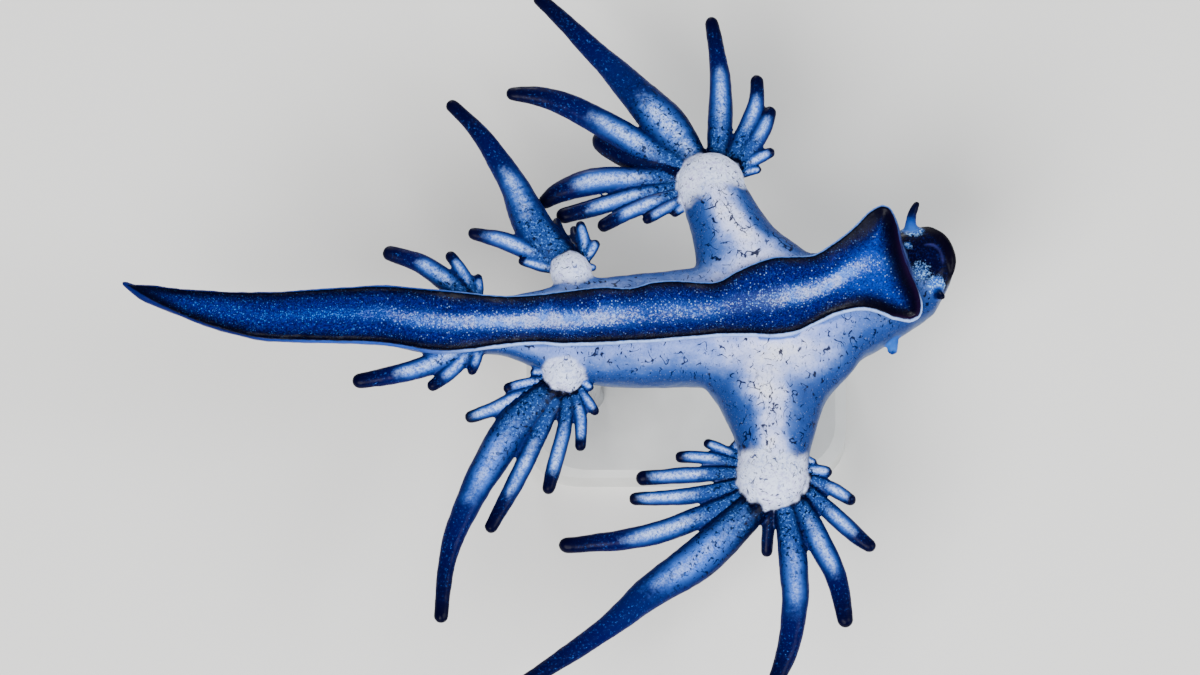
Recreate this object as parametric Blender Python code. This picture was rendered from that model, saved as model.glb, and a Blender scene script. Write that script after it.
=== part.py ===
"""Blue dragon sea slug (Glaucus atlanticus), life size, on a plain display stand.

The animal floats foot upward, as it does in life. +X runs toward the head, +Y toward the
animal's right side, +Z up. Shapes are worked out in millimetres in the animal's own frame,
whose height 0 is the rim of the foot, and are set over the stand at the end.
"""
import math

import bmesh
import bpy
from mathutils import Vector

MM = 0.001
GAP = 0.3

# Stand, in mm. The origin of the part is the centre of the base's underside.
BASE_LENGTH, BASE_WIDTH, BASE_THICK = 15.5, 9.0, 1.5
BASE_CORNER, BASE_EDGE = 2.5, 0.30
ROD_DIAMETER = 1.1
ROD_AT = {"front": 6.0, "rear": -3.4}
FOOT_HEIGHT = 12.0
STAND_CENTRE = (1.3, 0.4)

# Body: x, y, half width, height of the widest level, rise above it, depth below it.
BODY = [
    (-25.80, 2.10, 0.12, -1.00, 0.10, 0.16),
    (-24.60, 1.45, 0.42, -0.88, 0.20, 0.48),
    (-22.00, 0.78, 0.85, -0.66, 0.24, 0.90),
    (-18.70, 0.23, 1.20, -0.46, 0.26, 1.30),
    (-13.70, 0.24, 1.45, -0.32, 0.28, 1.75),
    (-10.80, -0.14, 1.55, -0.36, 0.30, 2.00),
    (-9.20, -0.05, 1.40, -0.95, 0.60, 1.80),
    (-7.40, 0.00, 1.50, -1.15, 0.70, 1.80),
    (-5.60, -0.02, 2.05, -1.75, 1.20, 1.95),
    (-3.00, 0.02, 2.66, -2.20, 1.60, 2.20),
    (0.50, 0.25, 2.90, -2.40, 1.75, 2.35),
    (4.50, 0.60, 3.00, -2.45, 1.80, 2.40),
    (8.30, 1.30, 2.85, -2.40, 1.80, 2.20),
    (10.10, 1.95, 2.60, -2.25, 1.70, 2.05),
    (11.60, 2.60, 2.35, -2.00, 1.45, 1.80),
    (12.60, 3.15, 2.18, -1.80, 1.30, 1.55),
    (13.40, 3.32, 1.80, -1.70, 1.15, 1.25),
    (13.90, 3.34, 1.25, -1.65, 0.85, 0.90),
    (14.15, 3.34, 0.60, -1.62, 0.42, 0.45),
]
BODY_SIDES = 20
RINGS_PER_SPAN = 2

# Foot over the trunk: x, y, half width. On the tail the foot is the body's own top.
FOOT = [
    (-10.30, -0.25, 1.64),
    (-9.30, -0.27, 1.55),
    (-7.40, -0.25, 1.30),
    (-5.80, -0.10, 1.32),
    (-2.90, 0.08, 1.50),
    (-1.40, 0.07, 1.43),
    (0.30, 0.33, 1.58),
    (2.80, 0.43, 1.45),
    (4.60, 0.85, 1.85),
    (6.50, 1.10, 2.10),
    (7.80, 1.60, 1.88),
    (9.60, 2.42, 2.12),
    (10.55, 2.70, 2.72),
    (11.30, 2.80, 3.10),
    (11.85, 2.90, 2.80),
]
FOOT_THICK = 0.6
FOOT_GROOVE = 0.1
TAIL_GROOVE = 0.16

# Where the body is parted, from tail to head: x on the middle line.
TAIL_CUTS = (-20.4, -15.4, -10.3)
TRUNK_CUTS = (-6.9, -0.6)
HEAD_CUT = 9.2
FOOT_CUTS = (-1.2, 6.6)

# Arms: points of the middle line with half width and half height.
ARM_FRONT_LEFT = [
    (5.90, -0.60, -2.45, 4.20, 1.75),
    (5.60, -1.90, -2.45, 3.70, 1.80),
    (5.42, -2.45, -2.45, 3.35, 1.80),
    (5.30, -3.00, -2.43, 3.00, 1.76),
    (5.35, -3.70, -2.42, 2.55, 1.68),
    (5.45, -5.00, -2.40, 2.08, 1.50),
    (5.50, -6.10, -2.40, 1.74, 1.36),
    (5.40, -7.30, -2.45, 1.60, 1.24),
]
ARM_FRONT_RIGHT = [
    (5.20, 1.40, -2.45, 3.30, 1.90),
    (4.95, 2.90, -2.45, 3.15, 1.85),
    (4.40, 4.20, -2.42, 2.72, 1.70),
    (3.65, 5.20, -2.40, 2.15, 1.56),
    (3.05, 6.40, -2.40, 1.88, 1.44),
    (2.78, 7.10, -2.40, 1.74, 1.34),
    (2.55, 7.75, -2.42, 1.58, 1.22),
]
ARM_SIDES = 14

# Planes that part the front arms from the trunk (two points on each, in plan)
# and from their fans (a point and the outward bearing).
ARM_ROOT_PLANES = {"left": ((2.8, -2.95), (8.3, -2.45)), "right": ((1.5, 3.40), (7.5, 4.30))}
FAN_PLANES = {"left": ((5.5, -5.35), 270.0), "right": ((3.3, 6.10), 97.0)}

# Fans: each ceras is the fall of its tip below the hub, then places on its middle line from
# root to tip: x, y and width. Its root lies "drop" below the hub's centre.
FANS = {
    "front_left": dict(
        centre=(5.38, -7.28, -2.4), radius=1.7, height=1.25, drop=0.5,
        cerata=[
            (0.5, (4.32, -6.2, 0.34), (3.84, -5.78, 0.41), (3.41, -5.42, 0.34)),
            (0.5, (4.03, -6.3, 0.38), (3.07, -5.78, 0.5), (2.11, -5.37, 0.41)),
            (0.5, (4.03, -6.56, 0.43), (2.26, -6.2, 0.6), (0.72, -6.14, 0.53)),
            (0.5, (3.94, -6.97, 0.53), (1.44, -7.08, 0.77), (-1.15, -7.28, 0.67)),
            (0.55, (3.94, -7.54, 0.58), (1.44, -8.15, 0.79), (-1.49, -8.3, 0.58)),
            (0.9, (4.03, -8.16, 0.77), (1.92, -9.21, 1.08),
             (-0.96, -10.19, 1.06), (-4.85, -10.59, 0.72)),
            (1.25, (4.42, -8.78, 1.63), (2.02, -11.2, 2.02), (-0.43, -12.95, 1.63),
             (-2.88, -15.01, 1.08), (-7.3, -18.06, 0.67)),
            (1.5, (5.28, -8.78, 0.48), (5.18, -9.83, 0.6), (5.09, -10.92, 0.58)),
            (0.9, (5.95, -8.63, 0.91), (6.34, -11.07, 1.39), (6.46, -13.62, 1.27),
             (6.05, -16.12, 1.03), (5.18, -18.35, 0.62)),
            (0.7, (6.72, -8.52, 0.86), (7.54, -10.31, 1.15),
             (8.45, -12.36, 1.03), (8.93, -14.86, 0.72)),
            (0.6, (7.15, -7.9, 0.67), (8.45, -9.23, 0.89),
             (9.5, -10.25, 0.82), (10.32, -10.87, 0.6)),
            (0.5, (7.25, -7.33, 0.53), (8.35, -7.85, 0.7), (9.36, -8.52, 0.53)),
            (0.5, (7.01, -6.82, 0.48), (7.68, -6.87, 0.6), (8.26, -6.97, 0.48)),
            (0.5, (6.77, -6.2, 0.36), (7.15, -6.35, 0.43), (7.54, -6.51, 0.36)),
        ]),
    "front_right": dict(
        centre=(2.5, 7.76, -2.4), radius=1.66, height=1.25, drop=0.5,
        cerata=[
            (0.5, (3.94, 8.51, 0.38), (4.42, 8.71, 0.46), (4.94, 8.82, 0.38)),
            (0.5, (3.98, 8.87, 0.48), (4.8, 9.39, 0.6), (5.57, 9.8, 0.48)),
            (0.5, (3.84, 9.13, 0.67), (4.66, 10.27, 0.84), (5.14, 11.2, 0.74), (5.42, 12.08, 0.58)),
            (0.5, (3.41, 9.23, 0.72), (4.03, 10.53, 0.84), (4.66, 12.18, 0.79), (4.7, 13.74, 0.62)),
            (0.65, (2.78, 9.34, 0.96), (2.93, 11.21, 1.22),
             (2.93, 13.67, 0.98), (2.5, 16.85, 0.62)),
            (1, (1.68, 9.28, 1.34), (0.43, 11.03, 2.06), (-1.15, 12.88, 1.68),
             (-2.88, 14.84, 1.15), (-6, 18.18, 0.62)),
            (0.9, (1.39, 8.66, 0.86), (-0.72, 9.95, 1.34), (-2.88, 11.38, 1.34),
             (-5.28, 12.62, 1.08), (-7.44, 12.97, 0.58)),
            (1.7, (1.25, 8.4, 0.96), (-0.38, 9.25, 1.39),
             (-2.06, 10.26, 1.39), (-3.17, 11.06, 0.96)),
            (1.1, (1.1, 8.35, 0.62), (-0.96, 8.42, 1.01), (-3.02, 8.34, 1.32),
             (-4.7, 7.88, 1.06), (-5.81, 7.14, 0.58)),
            (1, (1.1, 7.99, 0.48), (-0.96, 7.59, 0.74), (-3.02, 6.99, 0.89), (-4.99, 6.48, 0.72)),
            (0.7, (1.25, 7.73, 0.43), (-0.38, 7.09, 0.7), (-1.82, 6.44, 0.72), (-2.98, 5.79, 0.58)),
            (0.5, (1.39, 7.42, 0.38), (0.38, 6.8, 0.55), (-0.82, 6.07, 0.48)),
            (0.5, (1.68, 7.32, 0.34), (1.15, 6.85, 0.46), (0.58, 6.38, 0.38)),
            (0.5, (2.02, 7.21, 0.34), (1.87, 6.85, 0.41), (1.68, 6.49, 0.34)),
        ]),
    "middle_left": dict(
        centre=(-4.61, -2.26, -1.75), radius=0.96, height=0.9, drop=0.3,
        cerata=[
            (0.3, (-5.33, -2.29, 0.34), (-5.81, -2.14, 0.41), (-6.29, -2.09, 0.36)),
            (0.3, (-5.28, -2.5, 0.38), (-6.34, -2.66, 0.55), (-7.54, -2.97, 0.43)),
            (0.45, (-5.23, -2.81, 0.48), (-6.72, -3.36, 0.7),
             (-8.11, -4.01, 0.72), (-9.36, -4.46, 0.53)),
            (1.1, (-5.38, -3.07, 1.15), (-7.15, -5.02, 1.82), (-8.93, -8.14, 1.37),
             (-10.13, -11.22, 0.91), (-10.51, -14.71, 0.65)),
            (0.7, (-4.9, -3.38, 0.58), (-5.81, -5.25, 0.86),
             (-6.91, -7.63, 0.86), (-8.26, -10.21, 0.6)),
            (0.5, (-4.46, -3.38, 0.48), (-4.61, -5.06, 0.7),
             (-5.04, -6.79, 0.74), (-5.42, -8.32, 0.58)),
            (0.3, (-4.08, -3.28, 0.43), (-3.79, -4.57, 0.62), (-3.84, -6.18, 0.5)),
            (0.3, (-3.84, -3.02, 0.36), (-3.41, -3.64, 0.5), (-3.02, -4.31, 0.43)),
            (0.3, (-3.84, -2.6, 0.34), (-3.5, -2.76, 0.38), (-3.22, -3.02, 0.34)),
        ]),
    "middle_right": dict(
        centre=(-4.27, 2.95, -1.7), radius=1.0, height=0.85, drop=0.3,
        cerata=[
            (0.3, (-4.99, 3.17, 0.38), (-5.9, 3.43, 0.53), (-6.82, 3.74, 0.43)),
            (0.45, (-4.94, 3.43, 0.53), (-6.34, 4.18, 0.86),
             (-7.73, 4.82, 0.84), (-9.26, 5.2, 0.53)),
            (0.85, (-4.46, 3.69, 1.34), (-6, 5.35, 1.87), (-7.06, 7.73, 1.37),
             (-8.59, 10.33, 0.89), (-10.22, 12.2, 0.58)),
            (1, (-4.37, 4, 0.34), (-4.7, 5.08, 0.46), (-5.04, 6.15, 0.43)),
            (1, (-3.98, 4, 0.34), (-4.08, 4.87, 0.41), (-4.18, 5.73, 0.36)),
            (0.3, (-3.7, 3.95, 0.38), (-3.65, 4.73, 0.55), (-3.89, 5.71, 0.41)),
            (0.3, (-3.6, 3.64, 0.38), (-3.31, 4.11, 0.5), (-3.02, 4.73, 0.43)),
            (0.3, (-3.55, 3.38, 0.34), (-3.31, 3.33, 0.38), (-3.02, 3.28, 0.34)),
        ]),
    "rear_right": dict(
        centre=(-9.0, 1.13, -1.3), radius=0.6, height=0.45, drop=0.1,
        cerata=[
            (0.5, (-9.31, 1.53, 0.77), (-10.32, 2.46, 1.08),
             (-11.62, 3.42, 0.94), (-13.34, 4.08, 0.65)),
            (0.3, (-8.88, 1.53, 0.43), (-9.41, 2.71, 0.6), (-10.22, 3.94, 0.48)),
            (0.15, (-8.69, 1.43, 0.34), (-8.69, 2.06, 0.43), (-8.78, 2.74, 0.38)),
        ]),
    "rear_left": dict(
        centre=(-8.9, -0.99, -1.3), radius=0.6, height=0.45, drop=0.1,
        cerata=[
            (0.35, (-9.26, -1.05, 0.77), (-10.8, -1.85, 1.03),
             (-12.58, -2.39, 0.94), (-14.78, -2.77, 0.72)),
            (0.15, (-8.98, -1.05, 0.48), (-9.89, -2.18, 0.7), (-11.14, -3.21, 0.55)),
            (0.1, (-8.59, -1.05, 0.38), (-8.83, -1.73, 0.5), (-9.12, -2.5, 0.41)),
        ]),
}
ROOT_DEPTH = 0.55
LEAST_WIDTH = 0.5
WIDE, FLATNESS = 0.8, 0.85
CAP_AT, CAP_SHARE = 0.965, 0.72

# Feelers of the head: x on the middle line, angle round the section from the animal's
# left side upward, length, root width, tip width, lean forward and upward.
FEELERS = {
    "oral_tentacle_left": (13.15, 34, 0.95, 0.55, 0.32, 0.2, -0.1),
    "oral_tentacle_right": (12.95, 152, 1.25, 0.55, 0.32, 0.5, -0.1),
    "rhinophore_left": (10.15, -20, 0.80, 0.62, 0.46, 0.1, -0.1),
    "rhinophore_right": (10.95, 200, 0.80, 0.62, 0.46, 0.1, -0.1),
}
MOUTH_CENTRE = (13.35, 3.05, -0.80)
MOUTH_BEARING, MOUTH_RISE = 14.0, 48.0
LIP_RADIUS, LIP_THICK = 0.74, 0.34
MOUTH_RADIUS = 0.46

COLOURS = {
    "foot": ((0.012, 0.06, 0.34), 0.25),
    "trunk": ((0.45, 0.55, 0.75), 0.30),
    "tail": ((0.02, 0.10, 0.42), 0.25),
    "head": ((0.10, 0.16, 0.42), 0.25),
    "oral": ((0.08, 0.12, 0.35), 0.30),
    "rhinophore": ((0.30, 0.42, 0.70), 0.30),
    "arm": ((0.55, 0.62, 0.80), 0.30),
    "fan": ((0.06, 0.20, 0.55), 0.25),
    "stand": ((0.80, 0.80, 0.78), 0.55),
}


def smooth_rows(rows, per_span):
    """Catmull-Rom curve through rows of numbers, per_span steps from each row to the next."""
    points = [rows[0]] + list(rows) + [rows[-1]]
    out = []
    for i in range(len(rows) - 1):
        p0, p1, p2, p3 = points[i:i + 4]
        for step in range(per_span):
            t = step / per_span
            out.append(tuple(
                0.5 * (2 * b + (c - a) * t + (2 * a - 5 * b + 4 * c - d) * t * t
                       + (3 * b - a - 3 * c + d) * t ** 3)
                for a, b, c, d in zip(p0, p1, p2, p3)))
    out.append(tuple(rows[-1]))
    return out


def row_at(rows, x):
    """Row of a smoothed rail at the given x."""
    for low, high in zip(rows, rows[1:]):
        if x <= high[0]:
            t = (x - low[0]) / (high[0] - low[0])
            return tuple(a + (b - a) * t for a, b in zip(low, high))
    return rows[-1]


def headings(rows):
    """Unit direction of travel in plan at each row."""
    out = []
    for i in range(len(rows)):
        before, after = rows[max(i - 1, 0)], rows[min(i + 1, len(rows) - 1)]
        out.append(Vector((after[0] - before[0], after[1] - before[1], 0)).normalized())
    return out


def mesh_object(name, vertices, faces):
    mesh = bpy.data.meshes.new(name)
    mesh.from_pydata([tuple(v) for v in vertices], [], faces)
    bm = bmesh.new()
    bm.from_mesh(mesh)
    bmesh.ops.triangulate(bm, faces=bm.faces)
    bmesh.ops.recalc_face_normals(bm, faces=bm.faces)
    bm.to_mesh(mesh)
    bm.free()
    obj = bpy.data.objects.new(name, mesh)
    bpy.context.scene.collection.objects.link(obj)
    return obj


def loft(name, rings, start, end):
    """Closed skin through rings of points, closed to a point at each end."""
    sides = len(rings[0])
    vertices = [p for ring in rings for p in ring] + [start, end]
    faces = []
    for i in range(len(rings) - 1):
        for j in range(sides):
            k = (j + 1) % sides
            faces.append((i * sides + j, i * sides + k, (i + 1) * sides + k, (i + 1) * sides + j))
    first, last = len(vertices) - 2, len(vertices) - 1
    for j in range(sides):
        k = (j + 1) % sides
        faces.append((first, k, j))
        faces.append((last, (len(rings) - 1) * sides + j, (len(rings) - 1) * sides + k))
    return mesh_object(name, vertices, faces)


def evaluated(obj):
    """Applies an object's modifiers to its mesh."""
    graph = bpy.context.evaluated_depsgraph_get()
    mesh = bpy.data.meshes.new_from_object(obj.evaluated_get(graph))
    obj.modifiers.clear()
    obj.data = mesh
    return obj


def keep_largest(obj):
    """Keeps only the closed surface that encloses most, and merges stray doubles."""
    bm = bmesh.new()
    bm.from_mesh(obj.data)
    bmesh.ops.remove_doubles(bm, verts=bm.verts, dist=0.0002)
    bmesh.ops.triangulate(bm, faces=bm.faces)
    bm.faces.ensure_lookup_table()
    seen, groups = set(), []
    for face in bm.faces:
        if face.index in seen:
            continue
        group, queue = [], [face]
        seen.add(face.index)
        while queue:
            current = queue.pop()
            group.append(current)
            for edge in current.edges:
                for other in edge.link_faces:
                    if other.index not in seen:
                        seen.add(other.index)
                        queue.append(other)
        groups.append(group)

    def enclosed(group):
        return abs(sum(f.verts[0].co.dot(f.verts[1].co.cross(f.verts[2].co)) for f in group))

    groups.sort(key=enclosed)
    bmesh.ops.delete(bm, geom=[f for group in groups[:-1] for f in group], context="FACES")
    bm.to_mesh(obj.data)
    bm.free()
    return obj


def combine(name, objects, operation, keep=None):
    """Boolean of a first object with a collection of others, which are then removed."""
    target = keep or objects[0]
    others = [o for o in objects if o is not target]
    group = bpy.data.collections.new(name + "_pieces")
    for obj in others:
        group.objects.link(obj)
    modifier = target.modifiers.new("join", "BOOLEAN")
    modifier.operation = operation
    modifier.solver = "EXACT"
    modifier.operand_type = "COLLECTION"
    modifier.collection = group
    evaluated(target)
    for obj in others:
        bpy.data.objects.remove(obj)
    bpy.data.collections.remove(group)
    target.name = name
    return target


def copy_of(obj, name):
    twin = bpy.data.objects.new(name, obj.data.copy())
    bpy.context.scene.collection.objects.link(twin)
    return twin


def box(name, corner, along, across, length, width, low, high):
    """Upright box from a corner, along and across two plan directions."""
    a, c = along * length, across * width
    plan = [corner, corner + a, corner + a + c, corner + c]
    vertices = [p + Vector((0, 0, low)) for p in plan] + [p + Vector((0, 0, high)) for p in plan]
    faces = [(0, 1, 2, 3), (4, 5, 6, 7), (0, 1, 5, 4), (1, 2, 6, 5), (2, 3, 7, 6), (3, 0, 4, 7)]
    return mesh_object(name, vertices, faces)


def beyond(name, point, direction, back=0.0):
    """Large block that fills all space past a plane through point, facing direction."""
    reach = 60.0
    along = Vector((-direction.y, direction.x, 0))
    corner = Vector((point[0], point[1], 0)) - along * reach / 2 - direction * back
    return box(name, corner, along, direction, reach, reach, -reach, reach)


def drum(name, centre, radius, low, high, sides=24):
    """Upright cylinder in plan about a centre."""
    turn = [2 * math.pi * i / sides for i in range(sides)]
    ring = [Vector((centre[0] + radius * math.cos(a), centre[1] + radius * math.sin(a), 0))
            for a in turn]
    bottom = [p + Vector((0, 0, low)) for p in ring]
    top = [p + Vector((0, 0, high)) for p in ring]
    middle = Vector((centre[0], centre[1], 0))
    return loft(name, [bottom, top], middle + Vector((0, 0, low)), middle + Vector((0, 0, high)))


def body_ring(row, heading):
    """Cross-section of the body: round below, flatter above, with a groove on the tail."""
    x, y, half, level, rise, depth = row
    side = Vector((heading.y, -heading.x, 0))
    centre = Vector((x, y, level))
    groove = TAIL_GROOVE * min(1.0, half) if rise < 0.5 else 0.0
    ring = []
    for j in range(BODY_SIDES):
        angle = 2 * math.pi * (j + 0.5) / BODY_SIDES
        across, up = math.cos(angle), math.sin(angle)
        height = depth * up
        if up > 0:
            height = rise * up ** 0.7 - groove * max(0.0, 1 - (across / 0.8) ** 2)
        ring.append(centre + side * half * across + Vector((0, 0, height)))
    return ring


def body_surface(rail, x, angle):
    """Point on the body's surface and the outward direction there."""
    row = row_at(rail, x)
    ahead, behind = row_at(rail, x + 0.2), row_at(rail, x - 0.2)
    heading = Vector((ahead[0] - behind[0], ahead[1] - behind[1], 0)).normalized()
    side = Vector((heading.y, -heading.x, 0))
    turn = math.radians(angle)
    reach = row[4] if math.sin(turn) > 0 else row[5]
    across, up = math.cos(turn), math.sin(turn)
    point = Vector((row[0], row[1], row[3])) + side * row[2] * across + Vector((0, 0, reach * up))
    outward = (side * across / row[2] + Vector((0, 0, up / reach))).normalized()
    return point, outward, heading


def foot_ring(row, heading, extra):
    """Cross-section of the foot: flat below, raised rims and a shallow groove above."""
    x, y, half = row
    side = Vector((heading.y, -heading.x, 0))
    centre = Vector((x, y, 0))
    half = half + extra
    bottom = -FOOT_THICK - extra
    if extra:
        profile = [(-1, bottom), (1, bottom), (1, 3.0), (-1, 3.0)]
    else:
        profile = [(-0.86, bottom), (0.0, bottom), (0.86, bottom), (1.0, -0.36), (0.97, -0.08),
                   (0.88, 0.0), (0.74, -0.05), (0.4, -FOOT_GROOVE), (0.0, -FOOT_GROOVE),
                   (-0.4, -FOOT_GROOVE), (-0.74, -0.05), (-0.88, 0.0), (-0.97, -0.08), (-1.0, -0.36)]
    return [centre + side * half * s + Vector((0, 0, z)) for s, z in profile]


def foot_solid(name, rail, extra):
    directions = headings(rail)
    rings = [foot_ring(row, direction, extra) for row, direction in zip(rail, directions)]
    rings[0] = [p - directions[0] * extra for p in rings[0]]
    rings[-1] = [p + directions[-1] * extra for p in rings[-1]]
    start = sum(rings[0], Vector()) / len(rings[0])
    end = sum(rings[-1], Vector()) / len(rings[-1])
    return loft(name, rings, start, end)


def arm_solid(name, rows):
    """Arm: oval sections, each in a plane across the animal's side."""
    rail = smooth_rows(rows, 2)
    rings = []
    for row in rail:
        turn = [2 * math.pi * j / ARM_SIDES for j in range(ARM_SIDES)]
        rings.append([Vector(row[:3]) + Vector((row[3] * math.cos(a), 0, row[4] * math.sin(a)))
                      for a in turn])
    return loft(name, rings, Vector(rail[0][:3]), Vector(rail[-1][:3]))


def hub_solid(name, fan):
    """Flattened dome that the cerata of one fan grow from."""
    centre = Vector(fan["centre"])
    rings, levels, sides = [], 5, 12
    for i in range(1, levels):
        lift = math.pi * i / levels - math.pi / 2
        radius = fan["radius"] * math.cos(lift)
        rings.append([centre + Vector((radius * math.cos(2 * math.pi * j / sides),
                                       radius * math.sin(2 * math.pi * j / sides),
                                       fan["height"] * math.sin(lift))) for j in range(sides)])
    pole = Vector((0, 0, fan["height"]))
    return loft(name, rings, centre - pole, centre + pole)


def ceras_rail(fan, entry, steps):
    """Middle line of a ceras as (point, width), from inside the hub out to its tip."""
    fall, *places = entry
    rows = smooth_rows(places, 4)
    gone = [0.0]
    for a, b in zip(rows, rows[1:]):
        gone.append(gone[-1] + math.hypot(b[0] - a[0], b[1] - a[1]))
    hub = Vector(fan["centre"])
    low, sink = hub.z - fan["drop"], fall - fan["drop"]
    x, y, width = rows[0]
    inner = Vector((x, y, low)) * (1 - ROOT_DEPTH) + Vector((hub.x, hub.y, low)) * ROOT_DEPTH
    rail = [(inner, width)]
    for i in range(steps + 1):
        way = gone[-1] * CAP_AT * i / steps
        k = max(j for j in range(len(rows) - 1) if gone[j] <= way)
        t = (way - gone[k]) / (gone[k + 1] - gone[k])
        x, y, width = (a + (b - a) * t for a, b in zip(rows[k], rows[k + 1]))
        rail.append((Vector((x, y, low - sink * way / gone[-1])), width))
    rail.append((Vector((*places[-1][:2], low - sink)), 0.0))
    return rail


def ceras_solid(name, fan, entry, extra=0.0):
    """One ceras: a bent rounded finger from inside the hub to its tip, extra wider all round."""
    widest = max(place[2] for place in entry[1:])
    steps, sides = (8, 8) if widest > WIDE else (4, 6)
    rail = ceras_rail(fan, entry, steps)
    rings = []
    for i, (point, width) in enumerate(rail[:-1]):
        slope = (rail[i + 1][0] - rail[max(i - 1, 0)][0]).normalized()
        across = slope.cross(Vector((0, 0, 1))).normalized()
        upward = across.cross(slope)
        half = max(width, min(LEAST_WIDTH, widest)) / 2 + extra
        if i == len(rail) - 2:
            half *= CAP_SHARE
        thick = max(half * FLATNESS, min(half, LEAST_WIDTH / 2 + extra))
        rings.append([point + across * half * math.cos(2 * math.pi * j / sides)
                      + upward * thick * math.sin(2 * math.pi * j / sides) for j in range(sides)])
    return loft(name, rings, rail[0][0], rail[-1][0] + slope * extra)


def feeler_solid(name, rail, feeler, extra=0.0):
    """Oral tentacle or rhinophore: a short cone on the head's surface, extra wider all round."""
    x, angle, length, root_width, tip_width, forward, upward_lean = feeler
    point, outward, heading = body_surface(rail, x, angle)
    lean = outward + heading * forward + Vector((0, 0, upward_lean))
    root = point - outward * extra
    end = point + lean.normalized() * length
    across = outward.cross(Vector((0, 0, 1))).normalized()
    upward = across.cross(outward)
    rings, sides, steps = [], 8, 4
    for i in range(steps + 1):
        t = i / steps
        half = (root_width + (tip_width - root_width) * t) / 2 + extra
        if i == steps:
            half *= 0.75
        centre = root + (end - root) * t * 0.92
        rings.append([centre + across * half * math.cos(2 * math.pi * j / sides)
                      + upward * half * math.sin(2 * math.pi * j / sides) for j in range(sides)])
    return loft(name, rings, root, end)


def lip_ring(name):
    """Thick lip round the mouth, and the hollow of the mouth as a second solid."""
    bearing, rise = math.radians(MOUTH_BEARING), math.radians(MOUTH_RISE)
    axis = Vector((math.cos(bearing) * math.cos(rise), math.sin(bearing) * math.cos(rise),
                   math.sin(rise)))
    side = axis.cross(Vector((0, 0, 1))).normalized()
    up = side.cross(axis)
    centre = Vector(MOUTH_CENTRE)
    around, tube = 14, 6
    vertices, faces = [], []
    for i in range(around):
        a = 2 * math.pi * i / around
        out = side * math.cos(a) * 1.25 + up * math.sin(a)
        for j in range(tube):
            b = 2 * math.pi * j / tube
            vertices.append(centre + out * (LIP_RADIUS + LIP_THICK * math.cos(b))
                            + axis * LIP_THICK * math.sin(b))
            k, m = (j + 1) % tube, (i + 1) % around
            faces.append((i * tube + j, i * tube + k, m * tube + k, m * tube + j))
    lips = mesh_object(name, vertices, faces)
    rings = []
    for i in range(1, 4):
        lift = math.pi * i / 4 - math.pi / 2
        radius = MOUTH_RADIUS * math.cos(lift)
        rings.append([centre + (side * 1.25 * math.cos(a) + up * math.sin(a)) * radius
                      + axis * MOUTH_RADIUS * 1.5 * math.sin(lift)
                      for a in [2 * math.pi * j / 10 for j in range(10)]])
    pole = axis * MOUTH_RADIUS * 1.5
    return lips, loft(name + "_hollow", rings, centre - pole, centre + pole)


def plane_at(rail, x):
    """Point on the middle line and its heading, for a cut square to the body."""
    ahead, behind = row_at(rail, x + 0.3), row_at(rail, x - 0.3)
    heading = Vector((ahead[0] - behind[0], ahead[1] - behind[1], 0)).normalized()
    return row_at(rail, x)[:2], heading


def slice_between(name, whole, rail, low, high):
    """Copy of a solid between two cuts square to the body, half a gap inside each."""
    piece = copy_of(whole, name)
    cutters = []
    for x, sign in ((low, -1), (high, 1)):
        if x is not None:
            point, heading = plane_at(rail, x)
            cutters.append(beyond(name + "_cut", point, heading * sign, GAP / 2))
    return keep_largest(combine(name, [piece] + cutters, "DIFFERENCE"))


def finish(obj, kind):
    """Sets the solid over the stand at its real size, shaded and coloured."""
    lift = Vector((-STAND_CENTRE[0], -STAND_CENTRE[1], FOOT_HEIGHT))
    if kind == "stand":
        lift = Vector((0, 0, 0))
    for vertex in obj.data.vertices:
        vertex.co = (vertex.co + lift) * MM
    colour, roughness = COLOURS[kind]
    material = bpy.data.materials.new(obj.name)
    material.use_nodes = True
    shader = material.node_tree.nodes["Principled BSDF"]
    shader.inputs["Base Color"].default_value = (*colour, 1)
    shader.inputs["Roughness"].default_value = roughness
    obj.data.materials.clear()
    obj.data.materials.append(material)
    obj.data.shade_smooth()
    obj.data.set_sharp_from_angle(angle=math.radians(40))


def build_body(rail):
    """Trunk, tail, head and front arms as one solid, with the seat of the foot cut in."""
    directions = headings(rail)
    rings = [body_ring(row, direction) for row, direction in zip(rail, directions)]
    tail_end = Vector((rail[0][0], rail[0][1], rail[0][3])) - directions[0] * 0.12
    head_end = Vector((rail[-1][0], rail[-1][1], rail[-1][3])) + directions[-1] * 0.1
    trunk = loft("body", rings, tail_end, head_end)
    pieces = [trunk, arm_solid("arm_left", ARM_FRONT_LEFT), arm_solid("arm_right", ARM_FRONT_RIGHT)]
    pieces += [hub_solid("hub_" + name, fan) for name, fan in FANS.items()]
    body = keep_largest(combine("body", pieces, "UNION"))
    seat = foot_solid("seat", smooth_rows(FOOT, 2), GAP)
    return keep_largest(combine("body", [body, seat], "DIFFERENCE"))


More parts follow.
